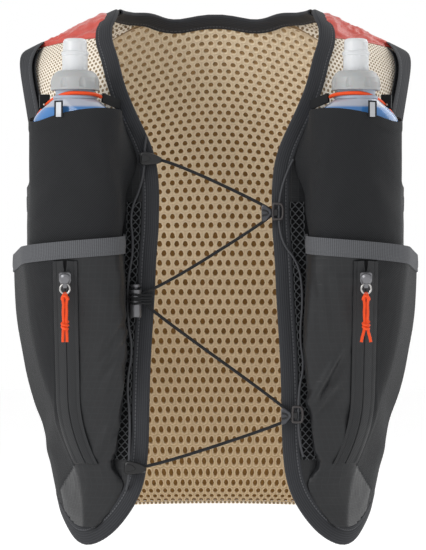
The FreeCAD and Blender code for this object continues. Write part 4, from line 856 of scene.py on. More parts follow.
class Surface(Nodes):
    """A material under construction: a Principled shader fed by the cloth attribute and shared groups."""

    def __init__(self, name, roughness, **sockets):
        self.material = bpy.data.materials.new(name)
        self.material.use_nodes = True
        self.tree = self.material.node_tree
        self.shader = self.tree.nodes["Principled BSDF"]
        self.shader.inputs["Roughness"].default_value = roughness
        for label, value in sockets.items():
            self.shader.inputs[label.replace("_", " ")].default_value = value
        MATERIALS[name] = self.material

    def attribute(self, name="cloth", output="Vector"):
        return self.add("Attribute", attribute_name=name).outputs[output]

    def place(self, group, **values):
        node = self.add("Group", node_tree=GROUPS[group])
        for label, value in values.items():
            self.feed(node.inputs[label.replace("_", " ")], value)
        return node.outputs

    def share(self, value, top=1.0):
        """0 to 1 as a value goes from 0 to top."""
        node = self.add("MapRange")
        self.feed(node.inputs["Value"], value)
        self.feed(node.inputs["From Max"], top)
        return node.outputs[0]

    def colour(self, value):
        self.feed(self.shader.inputs["Base Color"], value)

    def bump(self, height, strength):
        node = self.add("Bump")
        self.feed(node.inputs["Strength"], strength)
        self.feed(node.inputs["Distance"], BUMP_DEEP)
        self.feed(node.inputs["Height"], height)
        self.feed(self.shader.inputs["Normal"], node.outputs[0])

    def toned(self, colour, cloth, height, weave, mottle, speckle):
        """The colour of a cloth whose weave, mottling and speckle show by these amounts."""
        return self.place("tone", Color=colour, Cloth=cloth, Weave=height, Weave_amount=weave,
                          Mottle_amount=mottle, Speckle_amount=speckle)["Color"]


BLACK = (18, 18, 19)
BUMP_DEEP = 0.0003
# Finishes of one colour: the colour, the roughness and the shader's other values.
PLAIN_FINISHES = {
    # The dark ground is the net tapes' ground, and painted shade in the gap of the open zips.
    "dark ground": (BLACK, 0.95, {"Specular_IOR_Level": 0.1}),
    "moulded black": (BLACK, 0.3, {"Specular_IOR_Level": 0.4}),
    # Painted sheen: the hooks' noses are black plastic, given a grey metallic finish.
    "hook sheen": ((70, 71, 75), 0.3, {"Metallic": 0.6}),
    "hook loop": ((46, 42, 42), 0.4, {"Specular_IOR_Level": 0.5}),
    # Painted sheen: the ladder cords are black, given a dark grey colour.
    "ladder cord sheen": ((62, 63, 66), 0.6, {"Specular_IOR_Level": 0.3}),
    "soft black": ((22, 23, 25), 0.6, {"Specular_IOR_Level": 0.2}),
    "gunmetal": ((112, 112, 115), 0.3, {"Metallic": 0.6}),
    "nickel": ((176, 174, 172), 0.2, {"Metallic": 1.0}),
    "spring wire": ((190, 190, 190), 0.25, {"Metallic": 1.0}),
    "silver tape": ((178, 180, 184), 0.45, {"Metallic": 0.3}),
    "collar plastic": ((176, 188, 206), 0.3, {"Transmission_Weight": 0.2}),
    "cap plastic": ((176, 178, 178), 0.42,
                    {"Transmission_Weight": 0.15, "Subsurface_Weight": 0.1, "Subsurface_Scale": 0.01}),
    "valve silicone": ((238, 240, 242), 0.3, {"Transmission_Weight": 0.35, "IOR": 1.4, "Coat_Weight": 0.2}),
    "floor": ((244, 244, 244), 0.9, {"Emission_Color": (1, 1, 1, 1), "Emission_Strength": 0.42}),
}


def woven(name, colour, weave, roughness, amounts, bump, sheen, shine, **values):
    """A material of cloth; amounts say how far its weave, mottling and speckle show."""
    m = Surface(name, roughness, Sheen_Weight=sheen, Sheen_Roughness=0.5, Specular_IOR_Level=shine)
    cloth = m.attribute()
    height = m.place(weave, Cloth=cloth, **values)["Height"]
    toned = m.toned(rgba(colour), cloth, height, *amounts)
    m.colour(toned)
    m.bump(height, bump)
    return m, cloth, toned


def build_woven(s):
    """Pocket cloths, zip tape, cords, webbing, and the two elastics with their stitches."""
    cord = (0.35, 0.1, 0.1)
    for name, colour, weave, roughness, amounts, bump, sheen, shine, pitch in (
            ("stretch twill", s.twill_colour, "twill", 0.7, (1.2, 0.2, 0.15), 0.9, 0.02, 0.2, 1.9),
            ("light ripstop", s.ripstop_colour, "ripstop", 0.4, (0.5, 0.15, 0.05), 0.45, 0.02, 0.3, 5.2),
            ("coral ripstop", s.yoke_colour, "ripstop", 0.3, (0.15, 0.2, 0.05), 0.3, 0.03, 0.45, 4.5),
            ("zip tape", s.zip_colour, "braid", 0.5, (0.8, 0.1, 0.6), 0.6, 0.0, 0.3, 1.5),
            ("orange cord", s.orange_colour, "braid", 0.6, cord, 0.5, 0.0, 0.25, 1.2),
            ("lace cord", s.cord_colour, "braid", 0.6, cord, 0.5, 0.0, 0.25, 1.2),
            ("webbing", s.cord_colour, "braid", 0.75, cord, 0.5, 0.0, 0.25, 1.2)):
        woven(name, colour, weave, roughness, amounts, bump, sheen, shine, Pitch=pitch)
    for name, colour, roughness, amounts, pitch, along, place, step in (
            ("edge elastic", s.binding_colour, 0.78, (0.6, 0.12, 0.2), 1.75, 0.0, 11.2, 3.0),
            ("band elastic", s.band_colour, 0.85, (0.7, 0.15, 0.35), 1.6, 1.0, 2.6, 3.4)):
        m, cloth, toned = woven(name, colour, "ribs", roughness, amounts, 0.6, 0.02, 0.2,
                                Pitch=pitch, Along=along)
        stitch = m.place("stitch", Cloth=cloth, Place=place, Pitch=step)
        m.colour(m.mixed(stitch["Thread"], toned, rgba(s.thread_colour)))


def build_knits(s):
    """The fine knit of the fronts, the open knit of the back and the cloth behind it."""
    m = Surface("shoulder knit", 0.85, Sheen_Weight=0.15)
    cloth = m.attribute()
    holes = m.place("holes", Cloth=cloth, Across=3.6, Tall=3.9, Size=0.3)
    toned = m.toned(rgba(s.shoulder_colour), cloth, holes["Rim"], 0.15, 0.2, 0.25)
    m.colour(m.mixed(holes["Hole"], toned, rgba(s.hole_colour)))
    m.bump(m.math("MULTIPLY_ADD", holes["Hole"], -1.0, holes["Rim"]), 0.5)

    m = Surface("back knit", 0.9, Sheen_Weight=0.15)
    cloth, depth = m.attribute(), m.attribute("tone", "Fac")
    threads = m.place("ribs", Cloth=cloth, Pitch=1.2, Along=1.0)["Height"]
    fade = m.place("fade", Cloth=cloth, Low=40.0, High=270.0)["Share"]
    top_fade = m.place("fade", Cloth=cloth, Low=330.0, High=520.0)["Share"]
    # Painted shade: the open knit darkens towards the hem, for the shade inside the vest, and fades to its own
    # colour higher up.
    ground = m.mixed(fade, rgba(s.low_shade_colour), rgba(s.mesh_colour))
    ground = m.mixed(top_fade, ground, rgba(s.high_colour))
    toned = m.toned(ground, cloth, threads, 0.22, 0.2, 0.3)
    # Painted highlight on the holes' rims, fading out towards the hem; then painted shade on the holes' walls,
    # lighter on their lower half.
    rim_highlights = m.mixed(fade, rgba(s.mesh_colour), rgba(s.rim_highlight_colour))
    lit = m.mixed(m.share(depth), toned, rim_highlights)
    m.colour(m.mixed(m.share(depth, -1.0), lit, rgba(s.wall_shade_colour)))
    m.bump(threads, 0.4)

    m = Surface("backing", 0.95)
    cloth = m.attribute()
    rim = m.place("holes", Cloth=cloth, Across=1.5, Tall=1.7, Size=0.3)["Rim"]
    # Painted light: the backing seen through the holes grows paler towards the neck, where more light reaches
    # it.
    fade = m.place("fade", Cloth=cloth, Low=s.backing_light_start, High=s.backing_light_start + 110)["Share"]
    ground = m.mixed(fade, rgba(s.backing_colour), rgba(s.backing_lit_colour))
    m.colour(m.toned(ground, cloth, rim, 0.3, 0.5, 0.4))


def build_materials(s):
    """Every material of the vest, from the colours in the settings."""
    build_woven(s)
    build_knits(s)
    for name, (colour, roughness, values) in PLAIN_FINISHES.items():
        Surface(name, roughness, **values).colour(rgba(linear(colour)))
    Surface("net thread", 0.65, Specular_IOR_Level=0.25).colour(rgba(s.net_colour))
    m = Surface("clear film", 0.16, Transmission_Weight=0.3, IOR=1.35, Coat_Weight=0.5)
    m.colour(m.mixed(m.attribute("tone", "Fac"), rgba(s.film_colour), rgba(s.water_colour)))


# ------------------------------------------------------------------ panels
CLOTH_TURN, CLOTH_UP = 2.44, 1.15


def skin_grid(place, columns, rows, lift, side=1, bulge=None):
    """Points over a patch of the torso; bulge(u, v) adds to the lift."""
    def spot(u, v):
        p = place(u, v)
        return hang(raised(side * p.x, p.y, lift + (bulge(u, v) if bulge else 0)))

    return [[spot(u, v) for u in columns] for v in rows]


def skin_marks(place, columns, rows):
    """Cloth coordinates over a patch of the torso: its turns and ups in millimetres."""
    return [[(p.x * CLOTH_TURN, p.y * CLOTH_UP, 0) for p in (place(u, v) for u in columns)] for v in rows]


def shares(count):
    return [k / count for k in range(count + 1)]


def spread(low, high, count):
    return [mix(low, high, share) for share in shares(count)]


def inner_face(i, j, layer):
    """The second finish goes on the face towards the wearer."""
    return int(layer == 1)


def arc_table(level=150.0):
    """Distance round the back from the spine, and the turn at it, at one height."""
    turns = np.linspace(180, 60, 600)
    points = [skin(t, level) for t in turns]
    walked = np.concatenate([[0], np.cumsum([(b - a).length for a, b in zip(points, points[1:])])])
    return walked, turns


def back_bottom(turn):
    share = min(1.0, abs(turn - 180) / 90)
    return mix(BACK_HEM, SIDE_HEM, ease((share - 0.45) / 0.55)) + 0.8


def back_upper():
    path = [back_top(share) for share in shares(40)]
    turns, ups = np.array([p.x for p in path])[::-1], np.array([p.y for p in path])[::-1]
    return lambda turn: float(np.interp(180 - abs(turn - 180), turns, ups))


def mesh_levels(row):
    """Heights between the rows of holes: low rows at the hem, tall ones above it, lower ones to the neck."""
    levels = [11.0]
    while levels[-1] < NECKLINE + 6:
        z = levels[-1]
        if z < 19:
            tall = 3.1
        elif z < 33:
            tall = mix(3.1, 9.6, (z - 19) / 14)
        elif z < 200:
            tall = mix(9.9, row, ease((z - 33) / 60))
        else:
            tall = mix(row, 5.7, ease((z - 200) / 190))
        levels.append(z + tall)
    return levels


# A cell's corners in half pitches, and the angles of the points round its hole that they join.
CELL_CORNERS = [(1, 0), (1, 1), (0.33, 1), (-0.33, 1), (-1, 1), (-1, 0), (-1, -1), (-0.33, -1), (0.33, -1),
                (1, -1)]
HOLE_ANGLES = [0, 48, 76, 104, 132, 180, 228, 256, 284, 312]
# (size, lift, tone) of the rings of a cell: its border, then the hole's raised rim, edge and wall. The tone
# carries painted light: above 0 the painted highlight of the rim, below 0 the painted shade of the wall.
CELL_BORDER = (None, 0.0, 0.0)
HOLE_RINGS = [(1.26, -0.3, 0.6), (1.0, -0.14, 1.0), (0.88, 1.2, -1.0)]


def build_back_mesh(s):
    """The open knit of the back, hole by hole, on the face towards the wearer, over its backing."""
    walked, turns = arc_table()
    upper, pitch = back_upper(), s.mesh_pitch
    ups = [on_skin(30, min(z, NECKLINE + 5), back=True).y for z in mesh_levels(s.mesh_row)]
    random = np.random.default_rng(11)
    points, faces, cloth, tones = [], [], [], []

    def turn_of(distance):
        turn = float(np.interp(abs(distance), walked, turns))
        return turn if distance >= 0 else 360 - turn

    def limit(turn, up):
        edge = 180 - arm_turn(up) + arm_inset(up) if up > 30 else 90 + INSET_TURN * 0.1
        return max(edge, min(360 - edge, turn))

    def inside(turn, up, margin):
        edge = 180 - arm_turn(up) + margin / 2.4
        low, high = back_bottom(turn) + margin * 0.5, upper(turn) - margin * 0.6
        return edge <= turn <= 360 - edge and low <= up <= high

    def add_cell(centre, low, high):
        """One cell: its border and, where there is room, the rings round its hole."""
        centre_up, half_up = (low + high) / 2, (high - low) / 2
        middle = turn_of(centre)
        corners = [(turn_of(centre + dx * pitch / 2), centre_up + dy * half_up)
                   for dx, dy in ((-1, -1), (1, -1), (-1, 1), (1, 1))]
        if not any(inside(turn, up, -1.5) for turn, up in corners):
            return
        whole = inside(middle, centre_up, 5.0)
        wide = s.hole_width * (1 + 0.07 * (random.random() - 0.5))
        tall = s.hole_height * (1 + 0.07 * (random.random() - 0.5))
        lean = 0.12 * (random.random() - 0.5)
        out, start, count = outward(middle, centre_up), len(points), len(CELL_CORNERS)
        for grow, lift, tone in [CELL_BORDER] + (HOLE_RINGS if whole else []):
            for (cx, cy), angle in zip(CELL_CORNERS, HOLE_ANGLES):
                a, under = math.radians(angle), 0.0
                if grow is None:
                    dx, dy = cx * pitch / 2, cy
                else:
                    # The lower half of a hole's wall is drawn in a little and its tone raised: painted light on
                    # the lower wall, as if lit from above.
                    under = max(0.0, -math.sin(a)) if tone < 0 else 0.0
                    dx = (grow - 0.1 * under) * wide * pitch / 2 * math.cos(a)
                    dx += lean * math.sin(a) * pitch * 0.3
                    dy = (grow - 0.3 * under) * tall * math.sin(a)
                turn, up = turn_of(centre + dx), centre_up + dy * half_up
                up = min(max(up, back_bottom(turn)), upper(turn))
                points.append(skin(limit(turn, up), up) + out * lift)
                cloth.append((centre + dx, up * CLOTH_UP, 0))
                tones.append(tone + 0.45 * under)
        if whole:
            faces.extend(ring_faces(1 + len(HOLE_RINGS), count, start=start))
        else:
            faces.append(tuple(range(start, start + count)))

    reach = int(225 / pitch) + 2
    for row, (low, high) in enumerate(zip(ups, ups[1:])):
        for k in range(-reach, reach + 1):
            add_cell((k + 0.5 * (row % 2)) * pitch, low, high)
    knit = make_mesh("back_knit", points, faces, cloth, tones, ["back knit"], None, 0)
    if knit.data.polygons[len(knit.data.polygons) // 2].normal.y > 0:
        knit.data.flip_normals()
    columns, rows = shares(72), shares(56)
    inner = skin_grid(back_place, columns, rows, 1.22)
    outer = skin_grid(back_place, columns, rows, 1.7)
    backing = sheet("back_backing", inner, outer, skin_marks(back_place, columns, rows),
                    ["shoulder knit", "backing"], inner_face)
    for piece in (knit, backing):
        attach(piece, "vest", "panel_mesh", "back_panel")
    stretched(backing, outer)


POCKET_BEHIND = 322


def build_front_mesh(s):
    """Fine knit panels of the fronts and the shoulder straps, dark where the pockets lie over them."""
    columns, rows = shares(20), shares(60)
    for word, side in SIDES.items():
        inner = skin_grid(panel_place, columns, rows, 0, side)
        outer = skin_grid(panel_place, columns, rows, PANEL, side)

        def slot_of(i, j, layer):
            return int(layer != 1 and outer[i][j].z < POCKET_BEHIND)

        obj = sheet(f"front_knit_{word}", inner, outer, skin_marks(panel_place, columns, rows),
                    ["shoulder knit", "light ripstop"], slot_of)
        attach(obj, "vest", "shoulder_mesh", f"front_panel_{word}")
        stretched(obj, outer)


def wrinkle(x, y, seed):
    """Soft folds and sharp crinkles, about -1 to 1."""
    p = Vector((x, y, seed))
    low = noise.noise(p * 0.055)
    crease = 1 - abs(noise.noise(p * 0.11 + Vector((3, 1, 0)))) * 2.4
    fine = 1 - abs(noise.noise(p * 0.26)) * 2
    return 0.8 * low + 0.35 * crease + 0.14 * fine - 0.2


def crinkle(u, v, seed):
    """Sharp crinkles that run out from the seam at the neck."""
    p = Vector((u * 3.2, v * 9.0 + 1.5 * u, seed))
    long = 1 - 2.6 * abs(noise.noise(p))
    cross = 1 - 2.2 * abs(noise.noise(Vector((u * 9 + v * 4, v * 7 - u * 5, seed + 3))))
    return (0.75 * long + 0.4 * cross) * (1 - 0.45 * u) - 0.35


def build_yokes(s):
    """Crinkled coral ripstop over each shoulder's ridge."""
    columns, rows = shares(64), shares(96)
    for word, side in SIDES.items():
        def bulge(u, v):
            crinkles = 0.4 * wrinkle(u * 70, v * 75, 5 * side) + crinkle(u, v, 2.5 * side)
            return ease(min(u, 1 - u, v, 1 - v) / 0.07) * (1.4 + s.yoke_crinkle * crinkles)

        inner = skin_grid(yoke_place, columns, rows, 0, side, bulge)
        outer = skin_grid(yoke_place, columns, rows, PANEL * 0.5, side, bulge)
        obj = sheet(f"yoke_{word}", inner, outer, skin_marks(yoke_place, columns, rows),
                    ["coral ripstop", "shoulder knit"], inner_face)
        attach(obj, "vest", "yoke_ripstop", f"shoulder_yoke_{word}")
        stretched(obj, outer)


def fold_profile():
    """Rounded section of the folded edge tape, with the cloth coordinate across it at each point."""
    low, high, w = -SLACK - TAPE, PANEL + SLACK + TAPE, BINDING
    middle = (low + high) / 2
    # From the tape's edge to its fold: the distance, how far in from the face, and the cloth coordinate.
    face = [(w, 0.5, w), (w * 0.82, 0, w * 0.82), (w * 0.78, 0.22, w * 0.78), (w * 0.74, 0, w * 0.74),
            (w * 0.4, 0, w * 0.4), (2.0, 0.05, 2), (0.9, 0.45, 0.9)]
    fold = [(0.2, middle - 1.0, 0.2), (0, middle, 0), (0.2, middle + 1.0, 0.2)]
    lining = [(w, high - 1.0, w), (2.2, high - 1.0, 2), (1.2, middle, 1), (2.2, low + 1.0, 2),
              (w, low + 1.0, w)]
    section = [(x, low + inset, mark) for x, inset, mark in face] + fold
    section += [(x, high - inset, mark) for x, inset, mark in reversed(face)] + lining
    return [(x, y) for x, y, _ in section], [mark for _, _, mark in section]


def neck_frames():
    """The neck's edge, moved along the skin to where the tape lies, higher beside the yokes."""
    frames = []
    for p, across, out in frames_along(neckline(70), -1):
        climb = (Vector((0, 0, 1)) - out * out.z).normalized()
        share = ease((abs(p.x) - 26) / 38) * ease((92 - abs(p.x)) / 14)
        inward = Vector((-math.copysign(4 * ease((abs(p.x) - 64) / 20), p.x), 0, 0))
        frames.append((p + climb * (6.0 * share) - out * (1.4 * share) + inward, across, out))
    return frames


def front_frames(side):
    """A front's edge, which leans out a little under the shoulder and in on it."""
    frames = []
    for p, across, out in frames_along(front_edge(side, 150), side):
        lean = 2.5 * math.exp(-((p.z - 411) / 13) ** 2) - 4 * ease((p.z - 420) / 16)
        frames.append((p + Vector((side * lean, 0, 0)), across, out))
    return frames


def armhole_frames(side):
    """An armhole's edge, whose tape widens at the front of the shoulder."""
    frames = []
    for p, across, out in frames_along(armhole(side, 110), -side):
        share = ease((p.z - 318) / 30) * ease((12 - p.y) / 30)
        frames.append((p - across * (4.5 * share), across * (1 + 0.95 * share), out))
    return frames


def build_bindings(s):
    """Ribbed fold-over elastic round the fronts, armholes and neck, and the back's rolled hem."""
    outline, marks = fold_profile()
    runs = [("neck_edge", neck_frames(), "neck_binding")]
    for word, side in SIDES.items():
        runs.append((f"front_edge_{word}", front_frames(side), f"front_binding_{word}"))
        runs.append((f"armhole_edge_{word}", armhole_frames(side), f"armhole_binding_{word}"))
    for name, frames, node in runs:
        attach(ribbon(name, frames, outline, marks, ["edge elastic"]), "vest", "binding_elastic", node)
    roll = [(1.3 + 1.3 * math.cos(a), 0.6 + 1.2 * math.sin(a)) for a in np.linspace(0, 2 * math.pi, 9)[:-1]]
    hem = ribbon("hem_edge", frames_along(back_hem(90), 1), roll, range(8), ["shoulder knit"])
    attach(hem, "vest", "panel_mesh", "hem_binding")


# ------------------------------------------------------------------ pockets
def pocket_grid(side, way, columns, heights, height, lift):
    """Points of a pocket's wall; height(u, v) gives z and lift(u, z) the distance outside its inner face."""
    def spot(u, v):
        z = height(u, v)
        p = pocket_point(way, u, nearest_way(z), lift(u, z))
        return hang(Vector((side * p.x, p.y, z)))

    return [[spot(u, v) for u in columns] for v in heights]


def pocket_sheet(name, side, way, columns, heights, height, lifts, looks, slot_of=None):
    """A pocket's wall between two lifts, and its outer points; slot_of(point) picks a face's finish."""
    inner, outer = (pocket_grid(side, way, columns, heights, height, lift) for lift in lifts)
    marks = [[(u * pocket_span(way, height(u, v)), height(u, v), 0) for u in columns] for v in heights]
    pick = slot_of and (lambda i, j, layer: slot_of(outer[i][j]))
    return sheet(name, inner, outer, marks, looks, pick), outer


def bump_at(off, wide):
    """A rounded rise that is 1 where off is 0 and gone a little beyond wide."""
    return math.exp(-(off / wide) ** 2)


def crease_lift(creases, x, z):
    """Raised folds with a valley beside each; a crease is (x0, z0, x1, z1, half width, height)."""
    total = 0.0
    for x0, z0, x1, z1, wide, tall in creases:
        dx, dz = x1 - x0, z1 - z0
        long = math.hypot(dx, dz)
        t = ((x - x0) * dx + (z - z0) * dz) / long ** 2
        if not -0.15 < t < 1.15:
            continue
        off = ((x - x0) * dz - (z - z0) * dx) / long
        taper = ease((t + 0.15) / 0.35) * ease((1.15 - t) / 0.5)
        total += tall * taper * (bump_at(off, wide) - 0.7 * bump_at(off - 1.7 * wide, wide))
    return total


CREASES = {
    "left": [(75, 108, 101, 157, 3.2, 2.6), (79, 104, 98, 130, 2.6, 2.0), (84, 214, 92, 160, 4.0, 1.0),
             (96, 216, 100, 176, 5.0, 0.9), (108, 60, 96, 110, 7.0, 1.0), (140, 60, 128, 120, 8.0, 1.2)],
    "right": [(74, 184, 97, 148, 3.0, 1.7), (73, 172, 96, 134, 3.2, 1.6), (78, 150, 90, 118, 3.6, 1.2),
              (84, 205, 96, 140, 6.0, 0.8), (84, 92, 100, 66, 5.0, 1.2), (138, 64, 126, 110, 7.0, 1.2)],
}
FLASK_FOLDS = {
    "left": [(92, 330, 78, 262, 5.0, 1.2), (140, 262, 118, 300, 8.0, 0.9), (90, 262, 108, 300, 7.0, 0.8)],
    "right": [(92, 330, 78, 258, 5.0, 1.4), (86, 282, 112, 322, 8.0, 0.9), (146, 262, 120, 296, 8.0, 0.8)],
}


def seam_x(z):
    """Distance from the middle of the line where the lower pocket's two cloths meet."""
    return zip_x(z) if z > 70 else zip_x(70) + (70 - z) * 0.62


def rim_height(u):
    """The flask pocket's rim: raised over the flask's shoulder, slack beside it."""
    return RIM - 4 * bump_at(u, 0.1) + 4 * bump_at(u - 0.3, 0.15) - 6 * bump_at(u - 0.62, 0.12)


def build_flask_pockets(s):
    """Stretch pockets pulled tight round the flasks."""
    def height(u, v):
        return mix(FOOT, rim_height(u), v)

    for word, side in SIDES.items():
        def lift(u, z):
            p = pocket_point(flask_pocket_way, u, nearest_way(z), 0)
            below = z - rim_height(u)
            hem = 0.55 * ease((below + 9.5) / 0.8) - 0.35 * bump_at(below + 9.2, 0.7)
            return ease(min(u, 1 - u) / 0.12) * crease_lift(FLASK_FOLDS[word], abs(p.x), z) + hem

        obj, outer = pocket_sheet(f"flask_sleeve_{word}", side, flask_pocket_way, shares(84), shares(76),
                                  height, (lift, lambda u, z: lift(u, z) + WALL), ["stretch twill"])
        attach(obj, "vest", "stretch_twill", f"flask_pocket_{word}")
        stretched(obj, outer)


def hem_height(turn):
    """Height of the front's hem under a place on the torso, at its binding's upper edge."""
    lower = FRONT_PATH[FRONT_TIP:]
    aside = lower[0].y if turn < lower[0].x else SIDE_HEM
    return next((q.y for p, q in zip(lower, lower[1:]) if p.x <= turn <= q.x), aside) + BINDING


def pocket_foot(u):
    """Height at which the lower pocket's wall meets the hem's binding."""
    z = ZIP_FOOT
    for _ in range(5):
        p = pocket_point(zip_pocket_way, u, nearest_way(z), 0)
        across, deep = p.x / half_width(z), max(0.0, -p.y) / half_depth(z)
        z = mix(z, hem_height(math.degrees(math.atan2(across ** (POWER / 2), deep ** (POWER / 2)))), 0.7)
    return z


def build_zip_pockets(s):
    """Lower pockets: light ripstop towards the lacing, stretch twill outside the zip and slanting seam."""
    columns = shares(110)
    foot = {u: pocket_foot(u) for u in columns}

    def height(u, v):
        return mix(foot[u], band_low(u) + 1.0, v)

    def slot_of(p):
        return 0 if abs(p.x) + 1 < seam_x(p.z) and p.y < -40 else 1

    for word, side in SIDES.items():
        def lift(u, z):
            x = abs(pocket_point(zip_pocket_way, u, nearest_way(z), 0).x)
            edge = ease(min(u, 1 - u) / 0.08) * ease((z - foot[u]) / 16)
            seam = -0.5 * bump_at(x - seam_x(z), 1.0) if z < 70 else 0.0
            piping = 0.5 * bump_at(abs(x - zip_x(z)) - 10.6, 0.8) if z >= 58 else 0.0
            loose = 0.6 * wrinkle(x * 0.7, z * 0.5, 9 * side) if x < seam_x(z) else 0.0
            folds = crease_lift(CREASES[word], x, z) * s.crease_depth + loose
            return edge * (max(folds, -0.2 - 3.5 * ease((z - 70) / 70)) + seam + piping)

        obj, outer = pocket_sheet(f"lower_pocket_{word}", side, zip_pocket_way, columns, shares(104), height,
                                  (lift, lambda u, z: lift(u, z) + WALL), ["light ripstop", "stretch twill"],
                                  slot_of)
        attach(obj, "vest", "stretch_twill", f"zip_pocket_{word}")
        stretched(obj, outer)


def build_bands(s):
    """Heather grey ribbed elastic along the lower pockets' mouths."""
    columns, heights = shares(90), shares(10)

    def height(u, v):
        return band_low(u) + SEAM + BAND_TALL * v

    def outside(u, z):
        share = (z - band_low(u)) / BAND_TALL
        arch = 0.35 * math.sin(math.pi * max(0.0, min(1.0, share)))
        return arch - 0.3 * bump_at(share - 0.2, 0.06) + WALL * 2

    marks = [[(u * pocket_span(zip_pocket_way, height(u, 0)), v * BAND_TALL, 0) for u in columns]
             for v in heights]
    for word, side in SIDES.items():
        inner, outer = (pocket_grid(side, zip_pocket_way, columns, heights, height, lift)
                        for lift in (lambda u, z: 0.1, outside))
        obj = sheet(f"mouth_band_{word}", inner, outer, marks, ["band elastic"])
        attach(obj, "vest", "band_elastic", f"pocket_band_{word}")


# A zip tape's section: (share of its half width, rise). The two halves meet over the coil in the middle.
TAPE_EDGE = [(1.0, -0.5), (0.97, 0.35), (0.72, 0.4), (0.68, 0.1), (0.64, 0.4), (0.3, 0.5), (0.12, 1.15),
             (0.05, 1.05)]
TAPE_PROFILE = [(-share, rise) for share, rise in TAPE_EDGE] + [(0.0, 0.2)] + TAPE_EDGE[::-1]
TAPE_HALF, TAPE_THICK, TAPE_PARTS = 10, 0.8, 217


def build_zip_tapes(s):
    """Coated zip tapes: two halves meeting over a hidden coil, parted above the slider."""
    tall = spread(62, 226.5, 80)
    out = Vector((0, -1, 0.35)).normalized()

    def spot(side, z, share, rise, face):
        """A point of the tape's face or, where face is false, of its underside."""
        parted = math.copysign(ease((z - TAPE_PARTS) / 7), share) if abs(share) < 0.35 and share else 0
        level = nearest_way(z)
        _, p = pocket_at(zip_pocket_way, zip_x(z) + TAPE_HALF * share + parted, level, ZIP_SEAT)
        if face:
            p = p + out * (TAPE_THICK + rise + (0.5 if abs(share) < 0.4 else 0))
        return Vector((side * p.x, p.y, z + (p.z - level)))

    def slot_of(i, j, layer):
        # Painted shade: above the slider the middle faces, where the halves part, take the dark ground finish
        # for the shade inside the pocket.
        return int(j in (7, 8) and tall[i] > TAPE_PARTS)

    marks = [[(TAPE_HALF * share, z, 0) for share, _ in TAPE_PROFILE] for z in tall]
    for word, side in SIDES.items():
        inner, outer = ([[spot(side, z, share, rise, face) for share, rise in TAPE_PROFILE] for z in tall]
                        for face in (False, True))
        obj = sheet(f"zip_strip_{word}", inner, outer, marks, ["zip tape", "dark ground"], slot_of)
        attach(obj, "vest", "zip_tape", f"zip_tape_{word}")


def build_rim_tabs(s):
    """Small folded reflective tabs on the flask pockets' rims."""
    columns, heights, wide = [0, 0.18, 0.2, 0.5, 0.8, 0.82, 1], shares(10), 7

    def spot(side, u, v, lift):
        z = mix(RIM - 3, RIM + 10, v)
        _, p = pocket_at(flask_pocket_way, 125 + wide * (u - 0.5), min(z, RIM), lift)
        return Vector((side * p.x, p.y + 1.2 * max(0.0, v - 0.2), z))

    def slot_of(i, j, layer):
        return 0 if j in (2, 3) and i < 9 else 1

    marks = [[(u * wide, v * 10, 0) for u in columns] for v in heights]
    for word, side in SIDES.items():
        inner, outer = ([[spot(side, u, v, lift) for u in columns] for v in heights]
                        for lift in (WALL + SEAM, WALL + SEAM + 1.2))
        obj = sheet(f"rim_marker_{word}", inner, outer, marks, ["silver tape", "webbing"], slot_of)
        attach(obj, "vest", "reflective_tab", f"rim_tab_{word}")


# ------------------------------------------------------------------ the back
# The compartment's flat face, its top, foot and half width, the open pocket's mouth and the zip's height.
REAR_FACE, REAR_TOP, REAR_FOOT, REAR_HALF, REAR_MOUTH, REAR_ZIP = 128.0, 392.0, 34.0, 122.0, 215.0, 318.0


def rear_half(z):
    return REAR_HALF * mix(0.95, 1.0, ease(z / 120)) * mix(1.0, 0.8, ease((z - 280) / 110))


def rear_point(u, z, lift):
    """A point of the compartment's wall: on the back panel at its edges, rounded up to a flat face."""
    x = mix(-1, 1, u) * rear_half(z)
    place = on_skin(max(abs(x), 0.01), z, back=True)
    seat = raised(place.x, place.y, PANEL + LAYER * 1.8)
    edge = min(rear_half(z) - abs(x), REAR_TOP - z, (z - REAR_FOOT) * 1.2)
    return Vector((x, mix(seat.y, REAR_FACE, ease(edge / 54)) + lift, z))


def rear_bulge(u, z):
    edge = rear_half(z) * (1 - abs(2 * u - 1))
    return WALL + LAYER * 1.5 + 8 * ease(edge / 50) * ease((z - REAR_FOOT) / 150)


def rear_soft(u):
    """1 where the compartment's cloth is free to fold, 0 at its sides."""
    return ease(min(u, 1 - u) * 2 * REAR_HALF / 30)


def rear_sheet(name, tall, lift, thick, look, node, slot, low=0):
    """A sheet of the compartment over some heights; its cloth coordinates are counted up from low."""
    columns = shares(100)
    inner = [[rear_point(u, z, lift(u, z)) for u in columns] for z in tall]
    outer = [[rear_point(u, z, lift(u, z) + thick) for u in columns] for z in tall]
    marks = [[(u * 2 * REAR_HALF, z - low, 0) for u in columns] for z in tall]
    obj = sheet(name, inner, outer, marks, [look])
    attach(obj, "vest", slot, node)
    return obj, outer


